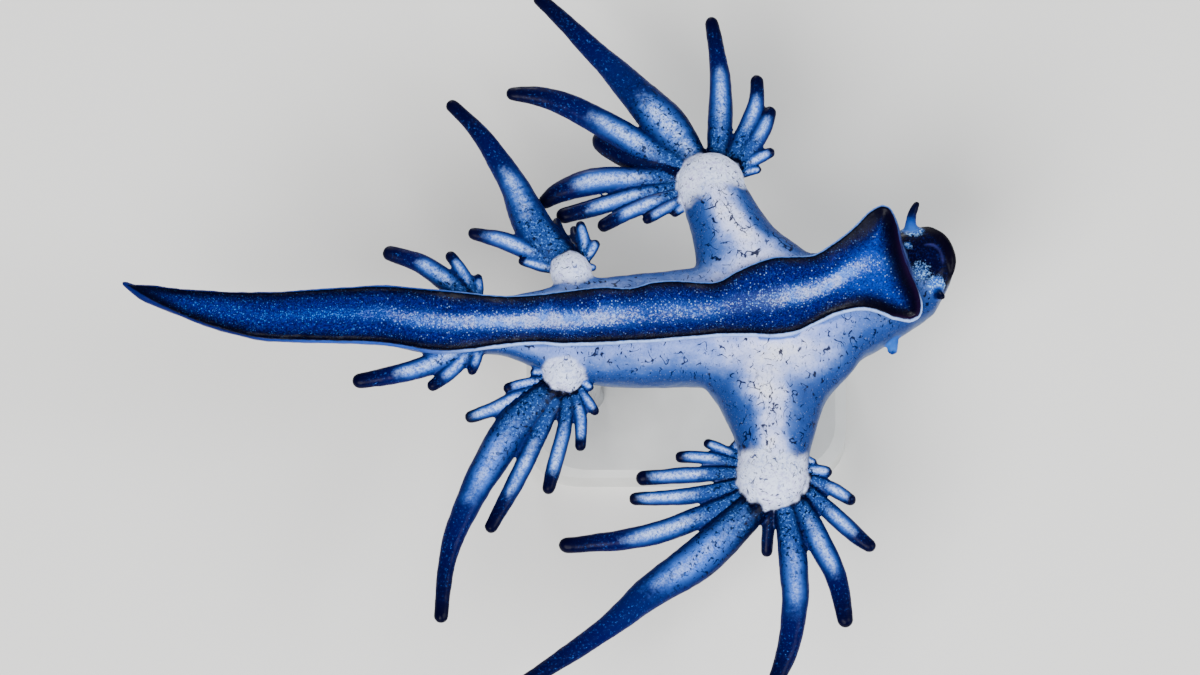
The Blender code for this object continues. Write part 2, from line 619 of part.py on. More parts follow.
def build_flesh():
    """All nodes of the animal, parted from one body by thin cuts."""
    rail = smooth_rows(BODY, RINGS_PER_SPAN)
    body = build_body(rail)

    tail = {name: slice_between(name, body, rail, low, high) for name, low, high in
            zip(("tail_tip", "tail_mid", "tail_base"), (None,) + TAIL_CUTS[:2], TAIL_CUTS)}
    trunk_rear = slice_between("trunk_rear", body, rail, TAIL_CUTS[2], TRUNK_CUTS[0])
    trunk_mid = slice_between("trunk_mid", body, rail, TRUNK_CUTS[0], TRUNK_CUTS[1])
    chest = slice_between("chest", body, rail, TRUNK_CUTS[1], HEAD_CUT)
    head = slice_between("head", body, rail, HEAD_CUT, None)

    for side, sign in (("left", -1), ("right", 1)):
        first, second = (Vector((*p, 0)) for p in ARM_ROOT_PLANES[side])
        along = (second - first).normalized()
        outward = Vector((-along.y, along.x, 0)) * sign
        point, bearing = FAN_PLANES[side]
        tipward = Vector((math.cos(math.radians(bearing)), math.sin(math.radians(bearing)), 0))
        arm = copy_of(chest, "arm_front_" + side)
        cutters = [beyond("inner", first, -outward, GAP / 2), beyond("outer", point, tipward, GAP / 2)]
        combine(arm.name, [arm] + cutters, "DIFFERENCE")
        finish(keep_largest(clear_of(arm, FANS["front_" + side])), "arm")
        hub = copy_of(chest, "fan_front_" + side)
        hub = combine(hub.name, [hub, beyond("inner", point, -tipward, GAP / 2)], "DIFFERENCE")
        grow_cerata(keep_largest(hub), FANS["front_" + side])
        chest = combine("chest", [chest, beyond("outer", first, outward, GAP / 2)], "DIFFERENCE")
    chest.name = "trunk_front"
    finish(keep_largest(chest), "trunk")

    for trunk, place in ((trunk_mid, "middle"), (trunk_rear, "rear")):
        for side in ("left", "right"):
            fan = FANS[place + "_" + side]
            hub = copy_of(trunk, "fan_" + place + "_" + side)
            core = drum("core", fan["centre"], fan["radius"] + 0.1, -8, 4)
            hub = keep_largest(combine(hub.name, [hub, core], "INTERSECT"))
            grow_cerata(hub, fan)
            socket = drum("socket", fan["centre"], fan["radius"] + 0.1 + GAP, -8, 4)
            combine(trunk.name, [trunk, socket], "DIFFERENCE")
            clear_of(trunk, fan)
            if place == "rear":
                clear_of(tail["tail_base"], fan)
        finish(keep_largest(trunk), "trunk")
    for piece in tail.values():
        finish(keep_largest(piece), "tail")

    lips, hollow = lip_ring("lips")
    head = combine("head", [head, lips], "UNION")
    sockets = [feeler_solid("socket", rail, feeler, GAP) for feeler in FEELERS.values()]
    head = combine("head", [head, hollow] + sockets, "DIFFERENCE")
    finish(keep_largest(head), "head")
    for name, feeler in FEELERS.items():
        finish(feeler_solid(name, rail, feeler), name.split("_")[0])
    bpy.data.objects.remove(body)
    return rail


def clear_of(solid, fan):
    """Cuts grooves, a gap wider than the cerata of a fan, into a solid that they lie against."""
    grooves = [ceras_solid("groove", fan, entry, GAP) for entry in fan["cerata"]]
    return combine(solid.name, [solid] + grooves, "DIFFERENCE")


def grow_cerata(hub, fan):
    """Joins the cerata of a fan to its hub."""
    name = hub.name
    pieces = [ceras_solid(name + "_ceras", fan, entry) for entry in fan["cerata"]]
    finish(keep_largest(combine(name, [hub] + pieces, "UNION")), "fan")


def build_foot():
    """The foot over the trunk, parted across into lengths."""
    rail = smooth_rows(FOOT, 2)
    whole = foot_solid("whole_foot", rail, 0)
    ends = [FOOT[0][0] + GAP / 2, FOOT_CUTS[0], FOOT_CUTS[1], None]
    for name, low, high in zip(("foot_rear", "foot_mid", "foot_front"), ends, ends[1:]):
        finish(slice_between(name, whole, rail, low, high), "foot")
    bpy.data.objects.remove(whole)


def build_stand(rail):
    """Flat base with rounded corners and two rods that reach up to the trunk."""
    plan = []
    for cx, cy, start in ((1, 1, 0), (-1, 1, 90), (-1, -1, 180), (1, -1, 270)):
        for step in range(7):
            a = math.radians(start + 15 * step)
            plan.append(Vector((cx * (BASE_LENGTH / 2 - BASE_CORNER) + BASE_CORNER * math.cos(a),
                                cy * (BASE_WIDTH / 2 - BASE_CORNER) + BASE_CORNER * math.sin(a), 0)))
    inset = 1 - 2 * BASE_EDGE / BASE_WIDTH
    rings = [[p.copy() for p in plan],
             [p + Vector((0, 0, BASE_THICK - BASE_EDGE)) for p in plan],
             [Vector((p.x * inset, p.y * inset, BASE_THICK)) for p in plan]]
    base = loft("stand_base", rings, Vector((0, 0, 0)), Vector((0, 0, BASE_THICK)))
    finish(base, "stand")
    for place, x in ROD_AT.items():
        row = row_at(rail, x)
        top = FOOT_HEIGHT + row[3] - row[5] - GAP
        centre = (row[0] - STAND_CENTRE[0], row[1] - STAND_CENTRE[1])
        rod = drum("stand_rod_" + place, centre, ROD_DIAMETER / 2, BASE_THICK + GAP, top, 16)
        finish(rod, "stand")


def main():
    for obj in list(bpy.data.objects):
        bpy.data.objects.remove(obj)
    rail = build_flesh()
    build_foot()
    build_stand(rail)


main()
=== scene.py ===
"""Looks of the blue dragon sea slug (Glaucus atlanticus) over its display stand.

The animal is one wet skin. Finer lofts of the forms in the solids are worked out in
millimetres in the animal's own frame (+X to the head, +Y to its right, height 0 at the rim
of the foot), fused, and then set over the stand in metres.
"""
import math
from collections import defaultdict

import bpy
import numpy as np
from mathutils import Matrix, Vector, noise

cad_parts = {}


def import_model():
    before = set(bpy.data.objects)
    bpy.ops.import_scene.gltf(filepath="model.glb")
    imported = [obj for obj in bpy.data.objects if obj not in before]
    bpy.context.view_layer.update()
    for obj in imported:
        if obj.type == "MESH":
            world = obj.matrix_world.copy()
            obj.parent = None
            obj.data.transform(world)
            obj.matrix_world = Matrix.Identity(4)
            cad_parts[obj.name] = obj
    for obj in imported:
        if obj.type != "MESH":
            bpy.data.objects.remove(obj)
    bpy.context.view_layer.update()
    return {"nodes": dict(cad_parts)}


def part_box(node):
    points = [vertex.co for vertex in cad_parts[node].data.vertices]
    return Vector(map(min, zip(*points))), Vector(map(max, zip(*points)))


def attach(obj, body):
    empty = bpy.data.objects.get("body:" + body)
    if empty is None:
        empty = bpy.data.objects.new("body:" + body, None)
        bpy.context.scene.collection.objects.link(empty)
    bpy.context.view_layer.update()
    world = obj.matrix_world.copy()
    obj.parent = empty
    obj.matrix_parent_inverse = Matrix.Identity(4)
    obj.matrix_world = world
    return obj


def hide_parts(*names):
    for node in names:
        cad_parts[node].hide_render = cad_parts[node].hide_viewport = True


MM = 0.001
FOOT_HEIGHT = 12.0
STAND_CENTRE = (1.3, 0.4)

# Body: x, y, half width, height of the widest level, rise above it, depth below it.
BODY = [
    (-25.80, 2.10, 0.12, -1.00, 0.10, 0.16),
    (-24.60, 1.45, 0.42, -0.88, 0.20, 0.48),
    (-22.00, 0.78, 0.85, -0.66, 0.24, 0.90),
    (-18.70, 0.23, 1.20, -0.46, 0.26, 1.30),
    (-13.70, 0.24, 1.45, -0.32, 0.28, 1.75),
    (-10.80, -0.14, 1.55, -0.36, 0.30, 2.00),
    (-9.20, -0.05, 1.40, -0.95, 0.60, 1.80),
    (-7.40, 0.00, 1.50, -1.15, 0.70, 1.80),
    (-5.60, -0.02, 2.05, -1.75, 1.20, 1.95),
    (-3.00, 0.02, 2.66, -2.20, 1.60, 2.20),
    (0.50, 0.25, 2.90, -2.40, 1.75, 2.35),
    (4.50, 0.60, 3.00, -2.45, 1.80, 2.40),
    (8.30, 1.30, 2.85, -2.40, 1.80, 2.20),
    (10.10, 1.95, 2.60, -2.25, 1.70, 2.05),
    (11.60, 2.60, 2.35, -2.00, 1.45, 1.80),
    (12.60, 3.15, 2.18, -1.80, 1.30, 1.55),
    (13.40, 3.32, 1.80, -1.70, 1.15, 1.25),
    (13.90, 3.34, 1.25, -1.65, 0.85, 0.90),
    (14.15, 3.34, 0.60, -1.62, 0.42, 0.45),
]

# Foot: x, y of its right edge, y of its left edge, from the tail's tip to the head.
FOOT_EDGES = [
    (-25.73, 2.04, 1.89), (-25.34, 2.03, 1.61), (-24.48, 1.91, 1.03), (-23.28, 1.73, 0.36),
    (-21.98, 1.55, -0.26), (-20.16, 1.43, -0.88), (-18.72, 1.40, -1.18), (-16.08, 1.53, -1.31),
    (-13.73, 1.66, -1.40), (-12.24, 1.58, -1.61), (-10.80, 1.44, -1.85), (-9.31, 1.28, -1.81),
    (-7.44, 1.10, -1.54), (-5.76, 1.20, -1.42), (-4.80, 1.33, -1.50), (-2.88, 1.57, -1.44),
    (-1.44, 1.52, -1.36), (-0.34, 1.82, -1.31), (0.96, 1.90, -1.18), (1.92, 1.82, -1.10),
    (2.78, 1.87, -1.02), (3.60, 2.35, -1.00), (4.61, 2.83, -1.00), (5.52, 3.12, -1.03),
    (6.48, 3.17, -0.88), (7.39, 3.24, -0.46), (8.30, 3.82, 0.02), (9.22, 4.59, 0.30),
]
# Corners of the flared front: right and left point of the last rows, then the front edge.
FOOT_FLARE = [
    ((9.89, 5.32), (9.89, 0.35)), ((10.27, 5.63), (10.56, 0.19)), ((10.70, 5.83), (11.18, -0.12)),
]
FOOT_FRONT = [
    (11.04, 5.73), (11.28, 5.42), (11.52, 4.75), (11.66, 3.92), (11.76, 3.40),
    (12.05, 2.37), (12.43, 1.49), (12.62, 0.61), (12.48, -0.02), (12.00, -0.27),
]
FOOT_LEVEL = [(-25.9, -0.92), (-24.6, -0.68), (-22.0, -0.42), (-18.7, -0.20), (-13.7, -0.04),
              (-10.8, -0.02), (-9.2, 0.0), (15.0, 0.0)]
FOOT_THICK, FRONT_DEEPER = 0.6, 0.6
FOOT_COLUMNS, FRONT_STEPS = 45, 10
# Height of the foot's top by distance in from its edge: a thin raised rim round a trough.
FOOT_PROFILE = [(0.0, -0.13), (0.05, -0.02), (0.12, 0.03), (0.20, 0.0), (0.40, -0.10),
                (0.80, -0.22), (1.60, -0.32), (3.0, -0.40)]

# Arms: points of the middle line with half width and half height.
ARMS = {
    "left": [
        (5.90, -0.60, -2.45, 4.20, 1.75),
        (5.60, -1.90, -2.45, 3.70, 1.80),
        (5.42, -2.45, -2.45, 3.35, 1.80),
        (5.30, -3.00, -2.43, 3.00, 1.76),
        (5.35, -3.70, -2.42, 2.55, 1.68),
        (5.45, -5.00, -2.40, 2.08, 1.50),
        (5.50, -6.10, -2.40, 1.74, 1.36),
        (5.40, -7.30, -2.45, 1.60, 1.24),
    ],
    "right": [
        (5.20, 1.40, -2.45, 3.30, 1.90),
        (4.95, 2.90, -2.45, 3.15, 1.85),
        (4.40, 4.20, -2.42, 2.72, 1.70),
        (3.65, 5.20, -2.40, 2.15, 1.56),
        (3.05, 6.40, -2.40, 1.88, 1.44),
        (2.78, 7.10, -2.40, 1.74, 1.34),
        (2.55, 7.75, -2.42, 1.58, 1.22),
    ],
}

# Fans: each ceras is the fall of its tip below the hub, where its silver patch starts and
# ends as shares of the length, or None for the low cerata lying under others, which are painted
# dark as shade, then places on its middle line from root to tip: x, y and width. Its root lies
# "drop" below the hub's centre.
FANS = {
    "front_left": dict(
        centre=(5.38, -7.28, -2.4), radius=1.7, height=1.25, drop=0.5, cerata=[
        (0.5, (0.2, 0.8), (4.32, -6.2, 0.34), (3.84, -5.78, 0.41), (3.41, -5.42, 0.34)),
        (0.5, (0.3, 0.85), (4.03, -6.3, 0.38), (3.07, -5.78, 0.5), (2.11, -5.37, 0.41)),
        (0.5, (0.42, 0.86), (4.03, -6.56, 0.43), (2.26, -6.2, 0.6), (0.72, -6.14, 0.53)),
        (0.5, (0.4, 0.85), (3.94, -6.97, 0.53), (1.44, -7.08, 0.77), (-1.15, -7.28, 0.67)),
        (0.55, (0.47, 0.9), (3.94, -7.54, 0.58), (1.44, -8.15, 0.79), (-1.49, -8.3, 0.58)),
        (0.9, (0.31, 0.64), (4.03, -8.16, 0.77), (1.92, -9.21, 1.08), (-0.96, -10.19, 1.06),
         (-4.85, -10.59, 0.72)),
        (1.25, (0.11, 0.41), (4.42, -8.78, 1.63), (2.02, -11.2, 2.02), (-0.43, -12.95, 1.63),
         (-2.88, -15.01, 1.08), (-7.3, -18.06, 0.67)),
        (1.5, None, (5.28, -8.78, 0.48), (5.18, -9.83, 0.6), (5.09, -10.92, 0.58)),
        (0.9, (0.28, 0.55), (5.95, -8.63, 0.91), (6.34, -11.07, 1.39), (6.46, -13.62, 1.27),
         (6.05, -16.12, 1.03), (5.18, -18.35, 0.62)),
        (0.7, (0.22, 0.6), (6.72, -8.52, 0.86), (7.54, -10.31, 1.15), (8.45, -12.36, 1.03),
         (8.93, -14.86, 0.72)),
        (0.6, (0.35, 0.7), (7.15, -7.9, 0.67), (8.45, -9.23, 0.89), (9.5, -10.25, 0.82),
         (10.32, -10.87, 0.6)),
        (0.5, (0.43, 0.84), (7.25, -7.33, 0.53), (8.35, -7.85, 0.7), (9.36, -8.52, 0.53)),
        (0.5, (0.2, 0.8), (7.01, -6.82, 0.48), (7.68, -6.87, 0.6), (8.26, -6.97, 0.48)),
        (0.5, (0.2, 0.8), (6.77, -6.2, 0.36), (7.15, -6.35, 0.43), (7.54, -6.51, 0.36)),
        ]),
    "front_right": dict(
        centre=(2.5, 7.76, -2.4), radius=1.66, height=1.25, drop=0.5, cerata=[
        (0.5, (0.2, 0.8), (3.94, 8.51, 0.38), (4.42, 8.71, 0.46), (4.94, 8.82, 0.38)),
        (0.5, (0.25, 0.8), (3.98, 8.87, 0.48), (4.8, 9.39, 0.6), (5.57, 9.8, 0.48)),
        (0.5, (0.41, 0.79), (3.84, 9.13, 0.67), (4.66, 10.27, 0.84), (5.14, 11.2, 0.74),
         (5.42, 12.08, 0.58)),
        (0.5, (0.42, 0.74), (3.41, 9.23, 0.72), (4.03, 10.53, 0.84), (4.66, 12.18, 0.79),
         (4.7, 13.74, 0.62)),
        (0.65, (0.26, 0.6), (2.78, 9.34, 0.96), (2.93, 11.21, 1.22), (2.93, 13.67, 0.98),
         (2.5, 16.85, 0.62)),
        (1, (0.06, 0.32), (1.68, 9.28, 1.34), (0.43, 11.03, 2.06), (-1.15, 12.88, 1.68),
         (-2.88, 14.84, 1.15), (-6, 18.18, 0.62)),
        (0.9, (0.22, 0.52), (1.39, 8.66, 0.86), (-0.72, 9.95, 1.34), (-2.88, 11.38, 1.34),
         (-5.28, 12.62, 1.08), (-7.44, 12.97, 0.58)),
        (1.7, None, (1.25, 8.4, 0.96), (-0.38, 9.25, 1.39), (-2.06, 10.26, 1.39),
         (-3.17, 11.06, 0.96)),
        (1.1, (0.29, 0.72), (1.1, 8.35, 0.62), (-0.96, 8.42, 1.01), (-3.02, 8.34, 1.32),
         (-4.7, 7.88, 1.06), (-5.81, 7.14, 0.58)),
        (1, (0.33, 0.73), (1.1, 7.99, 0.48), (-0.96, 7.59, 0.74), (-3.02, 6.99, 0.89),
         (-4.99, 6.48, 0.72)),
        (0.7, (0.29, 0.74), (1.25, 7.73, 0.43), (-0.38, 7.09, 0.7), (-1.82, 6.44, 0.72),
         (-2.98, 5.79, 0.58)),
        (0.5, (0.3, 0.8), (1.39, 7.42, 0.38), (0.38, 6.8, 0.55), (-0.82, 6.07, 0.48)),
        (0.5, (0.2, 0.8), (1.68, 7.32, 0.34), (1.15, 6.85, 0.46), (0.58, 6.38, 0.38)),
        (0.5, (0.2, 0.8), (2.02, 7.21, 0.34), (1.87, 6.85, 0.41), (1.68, 6.49, 0.34)),
        ]),
    "middle_left": dict(
        centre=(-4.61, -2.26, -1.75), radius=0.96, height=0.9, drop=0.3, cerata=[
        (0.3, (0.25, 0.8), (-5.33, -2.29, 0.34), (-5.81, -2.14, 0.41), (-6.29, -2.09, 0.36)),
        (0.3, (0.25, 0.8), (-5.28, -2.5, 0.38), (-6.34, -2.66, 0.55), (-7.54, -2.97, 0.43)),
        (0.45, (0.36, 0.9), (-5.23, -2.81, 0.48), (-6.72, -3.36, 0.7), (-8.11, -4.01, 0.72),
         (-9.36, -4.46, 0.53)),
        (1.1, (0.25, 0.52), (-5.38, -3.07, 1.15), (-7.15, -5.02, 1.82), (-8.93, -8.14, 1.37),
         (-10.13, -11.22, 0.91), (-10.51, -14.71, 0.65)),
        (0.7, (0.39, 0.72), (-4.9, -3.38, 0.58), (-5.81, -5.25, 0.86), (-6.91, -7.63, 0.86),
         (-8.26, -10.21, 0.6)),
        (0.5, (0.33, 0.8), (-4.46, -3.38, 0.48), (-4.61, -5.06, 0.7), (-5.04, -6.79, 0.74),
         (-5.42, -8.32, 0.58)),
        (0.3, (0.25, 0.8), (-4.08, -3.28, 0.43), (-3.79, -4.57, 0.62), (-3.84, -6.18, 0.5)),
        (0.3, (0.25, 0.8), (-3.84, -3.02, 0.36), (-3.41, -3.64, 0.5), (-3.02, -4.31, 0.43)),
        (0.3, (0.25, 0.8), (-3.84, -2.6, 0.34), (-3.5, -2.76, 0.38), (-3.22, -3.02, 0.34)),
        ]),
    "middle_right": dict(
        centre=(-4.27, 2.95, -1.7), radius=1.0, height=0.85, drop=0.3, cerata=[
        (0.3, (0.25, 0.8), (-4.99, 3.17, 0.38), (-5.9, 3.43, 0.53), (-6.82, 3.74, 0.43)),
        (0.45, (0.31, 0.81), (-4.94, 3.43, 0.53), (-6.34, 4.18, 0.86), (-7.73, 4.82, 0.84),
         (-9.26, 5.2, 0.53)),
        (0.85, (0.32, 0.52), (-4.46, 3.69, 1.34), (-6, 5.35, 1.87), (-7.06, 7.73, 1.37),
         (-8.59, 10.33, 0.89), (-10.22, 12.2, 0.58)),
        (1, None, (-4.37, 4, 0.34), (-4.7, 5.08, 0.46), (-5.04, 6.15, 0.43)),
        (1, None, (-3.98, 4, 0.34), (-4.08, 4.87, 0.41), (-4.18, 5.73, 0.36)),
        (0.3, (0.25, 0.8), (-3.7, 3.95, 0.38), (-3.65, 4.73, 0.55), (-3.89, 5.71, 0.41)),
        (0.3, (0.25, 0.8), (-3.6, 3.64, 0.38), (-3.31, 4.11, 0.5), (-3.02, 4.73, 0.43)),
        (0.3, (0.25, 0.8), (-3.55, 3.38, 0.34), (-3.31, 3.33, 0.38), (-3.02, 3.28, 0.34)),
        ]),
    "rear_right": dict(
        centre=(-9.0, 1.13, -1.3), radius=0.6, height=0.45, drop=0.1, cerata=[
        (0.5, (0.2, 0.59), (-9.31, 1.53, 0.77), (-10.32, 2.46, 1.08), (-11.62, 3.42, 0.94),
         (-13.34, 4.08, 0.65)),
        (0.3, (0.3, 0.75), (-8.88, 1.53, 0.43), (-9.41, 2.71, 0.6), (-10.22, 3.94, 0.48)),
        (0.15, (0.3, 0.7), (-8.69, 1.43, 0.34), (-8.69, 2.06, 0.43), (-8.78, 2.74, 0.38)),
        ]),
    "rear_left": dict(
        centre=(-8.9, -0.99, -1.3), radius=0.6, height=0.45, drop=0.1, cerata=[
        (0.35, (0.16, 0.61), (-9.26, -1.05, 0.77), (-10.8, -1.85, 1.03), (-12.58, -2.39, 0.94),
         (-14.78, -2.77, 0.72)),
        (0.15, (0.25, 0.7), (-8.98, -1.05, 0.48), (-9.89, -2.18, 0.7), (-11.14, -3.21, 0.55)),
        (0.1, (0.3, 0.7), (-8.59, -1.05, 0.38), (-8.83, -1.73, 0.5), (-9.12, -2.5, 0.41)),
        ]),
}
ROOT_DEPTH = 0.55
WIDE, FLATNESS, LEAST_HALF = 0.8, 0.85, 0.25
HUB_CROWN, SWELL, CAP_STEPS = 0.98, 0.015, 6

# Feelers of the head: points of the middle line with the radius there.
FEELERS = {
    "oral_tentacle_right": [(12.10, 4.90, -1.25, 0.36), (12.10, 5.35, -1.15, 0.27),
                            (12.17, 5.75, -1.08, 0.22), (12.30, 6.05, -1.02, 0.19),
                            (12.42, 6.28, -1.00, 0.15)],
    "oral_tentacle_left": [(13.25, 1.75, -1.25, 0.26), (13.42, 1.50, -0.98, 0.23),
                           (13.55, 1.30, -0.74, 0.18), (13.62, 1.22, -0.60, 0.12)],
    "rhinophore_left": [(11.30, 0.60, -2.30, 0.30), (11.24, -0.10, -2.36, 0.27),
                        (11.20, -0.60, -2.42, 0.27), (11.18, -0.92, -2.46, 0.23)],
    "rhinophore_right": [(9.95, 3.95, -2.30, 0.34), (9.75, 4.60, -2.35, 0.30),
                         (9.62, 4.95, -2.38, 0.27), (9.52, 5.25, -2.40, 0.17)],
}
LIP_ARC = [(12.55, 5.05, -1.45, 0.16), (12.95, 4.90, -1.22, 0.24), (13.45, 4.50, -1.08, 0.30),
           (13.80, 3.95, -1.02, 0.32), (13.98, 3.35, -1.05, 0.30), (13.98, 2.80, -1.18, 0.22),
           (13.88, 2.40, -1.35, 0.12)]
INNER_LIP = [(12.75, 3.92, -0.66, 0.05), (13.15, 3.90, -0.64, 0.07), (13.45, 3.62, -0.70, 0.08),
             (13.58, 3.20, -0.76, 0.08), (13.52, 2.78, -0.82, 0.07), (13.34, 2.45, -0.84, 0.05)]
MOUTH_CENTRE = (13.18, 3.10, -0.70)
MOUTH_RADIUS, MOUTH_DEPTH = 0.42, 0.07
# Pale places on the dark crown of the head: centre, size and how dense.
PALE_SPOTS = [((12.20, 5.00, -1.05), 0.95, 1.0), ((13.30, 1.90, -0.85), 0.75, 1.0),
              ((11.95, 3.90, -0.65), 0.40, 0.62), ((12.55, 2.55, -0.60), 0.90, 0.55)]

# Fusing in mm: the trunk, arms and hubs first, softly, then everything finely.
CORE_VOXEL, CORE_SMOOTHING = 0.16, 26
TAIL_FROM, TAIL_SLIM = -9.5, 0.92
VOXEL, SMOOTHING = 0.085, 3

# Unevenness of the skin: how fine each swing is and how far it goes, in mm.
SKIN_SWINGS = ((0.9, 0.035), (2.6, 0.014))
# Way that the pale stripe of each ceras faces, up and a little toward the camera, since the
# stripe is partly the ceras's own silver and partly painted highlight, and how far from its
# surface its colour goes.
PALE_SIDE = np.array((0.0, -0.26, 0.966))
CERAS_NEAR = 0.22
FLESH_NODES = (
    "head", "oral_tentacle_left", "oral_tentacle_right", "rhinophore_left", "rhinophore_right",
    "trunk_front", "trunk_mid", "trunk_rear", "tail_base", "tail_mid", "tail_tip",
    "foot_front", "foot_mid", "foot_rear", "arm_front_left", "arm_front_right",
    "fan_front_left", "fan_front_right", "fan_middle_left", "fan_middle_right",
    "fan_rear_left", "fan_rear_right")

# Brightness of the silver band on the foot at places from tail to head, in mm over the stand.
BAND_BRIGHT = [(-27.0, 0.0), (-23.5, 0.12), (-18.0, 0.45), (-12.5, 0.62), (-9.5, 0.95),
               (-4.2, 0.9), (-1.8, 0.45), (0.4, 0.6), (2.6, 0.35), (4.8, 0.8), (7.6, 1.0),
               (8.9, 0.55), (9.8, 0.15), (11.0, 0.0)]
BAND_SPAN = (-28.0, 12.0)

# Camera: it looks down at the foot from the animal's left.
CAMERA_TILT = 22.0
CAMERA_TARGET = (-4.18, -1.53, 12.0)
CAMERA_DISTANCE = 960.0
LENS, SENSOR = 600.0, 36.0

# Lights: name, place and width in mm, power and tint.
LIGHTS = (("key", (-110, -250, 290), 240, 2.7, (1.0, 1.0, 1.0)),
          ("fill", (240, -60, 220), 200, 1.0, (0.92, 0.96, 1.0)),
          ("edge", (-80, 300, 70), 90, 0.6, (1.0, 1.0, 1.0)))
WORLD_TINT, WORLD_STRENGTH = (0.9, 0.95, 1.0, 1), 0.28
FLOOR_HALF = 1.5

# Collar of a rod: share of the rod's radius and height over the base in mm, then how far
# the rod goes into the body.
COLLAR = ((1.3, -0.6), (1.3, -0.1), (1.25, 0.1), (1.1, 0.2), (1.0, 0.3))
ROD_REACH, ROD_SIDES = 0.7, 40


def smooth_rows(rows, per_span):
    """Catmull-Rom curve through rows of numbers, per_span steps from each row to the next."""
    points = [rows[0]] + list(rows) + [rows[-1]]
    out = []
    for i in range(len(rows) - 1):
        p0, p1, p2, p3 = points[i:i + 4]
        for step in range(per_span):
            t = step / per_span
            out.append(tuple(
                0.5 * (2 * b + (c - a) * t + (2 * a - 5 * b + 4 * c - d) * t * t
                       + (3 * b - a - 3 * c + d) * t ** 3)
                for a, b, c, d in zip(p0, p1, p2, p3)))
    out.append(tuple(rows[-1]))
    return out


def headings(rows):
    """Unit direction of travel in plan at each row."""
    out = []
    for i in range(len(rows)):
        before, after = rows[max(i - 1, 0)], rows[min(i + 1, len(rows) - 1)]
        out.append(Vector((after[0] - before[0], after[1] - before[1], 0)).normalized())
    return out


def smoothstep(low, high, value):
    t = np.clip((value - low) / (high - low), 0, 1)
    return t * t * (3 - 2 * t)


def new_object(name, data):
    obj = bpy.data.objects.new(name, data)
    bpy.context.scene.collection.objects.link(obj)
    return obj


def mesh_object(name, vertices, faces):
    mesh = bpy.data.meshes.new(name)
    mesh.from_pydata(vertices, [], faces)
    return new_object(name, mesh)


def ring(centre, across, upward, sides):
    """Points of an ellipse with those half axes, all the way round."""
    angles = [2 * math.pi * j / sides for j in range(sides)]
    centre, across, upward = Vector(centre), Vector(across), Vector(upward)
    return [centre + across * math.cos(a) + upward * math.sin(a) for a in angles]


class Flesh:
    """Closed surfaces gathered into one mesh, to be fused."""

    def __init__(self):
        self.vertices, self.faces = [], []

    def add(self, vertices, faces):
        base = len(self.vertices)
        self.vertices += [tuple(v) for v in vertices]
        self.faces += [tuple(base + i for i in face) for face in faces]

    def loft(self, rings, start, end):
        """Closed skin through rings of points, closed to a point at each end."""
        sides, vertices = len(rings[0]), [p for points in rings for p in points] + [start, end]
        top, faces = (len(rings) - 1) * sides, []
        around = [(j, (j + 1) % sides) for j in range(sides)]
        for i in range(0, top, sides):
            faces += [(i + j, i + k, i + sides + k, i + sides + j) for j, k in around]
        for j, k in around:
            faces += [(len(vertices) - 2, k, j), (len(vertices) - 1, top + j, top + k)]
        self.add(vertices, faces)

    def tube(self, points, sides=16):
        """Round tube with rounded ends along points of (x, y, z, radius)."""
        rows = smooth_rows(points, 5)
        rings = []
        for i, row in enumerate(rows):
            before, after = rows[max(i - 1, 0)], rows[min(i + 1, len(rows) - 1)]
            slope = (Vector(after[:3]) - Vector(before[:3])).normalized()
            across = slope.cross(Vector((0, 0, 1)))
            across = across.normalized() if across.length > 0.1 else Vector((1, 0, 0))
            upward = across.cross(slope)
            rings.append(ring(Vector(row[:3]), across * row[3], upward * row[3], sides))
        end = Vector(rows[-1][:3])
        forward = (end - Vector(rows[-2][:3])).normalized()
        self.loft(rings, Vector(rows[0][:3]), end + forward * rows[-1][3] * 0.6)

    def fuse(self, name, voxel, smoothing):
        """One closed, evenly meshed surface round everything gathered."""
        obj = mesh_object(name, self.vertices, self.faces)
        remesh = obj.modifiers.new("fuse", "REMESH")
        remesh.mode, remesh.voxel_size = "VOXEL", voxel
        smooth = obj.modifiers.new("soften", "SMOOTH")
        smooth.factor, smooth.iterations = 0.5, smoothing
        graph = bpy.context.evaluated_depsgraph_get()
        obj.data = bpy.data.meshes.new_from_object(obj.evaluated_get(graph))
        obj.modifiers.clear()
        return obj


def body_rings(rail, sides=56):
    """Cross-sections of the body: round below, flatter above."""
    rings = []
    for row, heading in zip(rail, headings(rail)):
        x, y, half, level, rise, depth = row
        side, points = Vector((heading.y, -heading.x, 0)), []
        for j in range(sides):
            angle = 2 * math.pi * (j + 0.5) / sides
            across, up = math.cos(angle), math.sin(angle)
            height = rise * up ** 0.7 if up > 0 else depth * up
            points.append(Vector((x, y, level)) + side * half * across + Vector((0, 0, height)))
        rings.append(points)
    return rings


def add_body(flesh, rail):
    directions = headings(rail)
    ends = [Vector((row[0], row[1], row[3])) for row in (rail[0], rail[-1])]
    flesh.loft(body_rings(rail), ends[0] - directions[0] * 0.12, ends[1] + directions[-1] * 0.1)


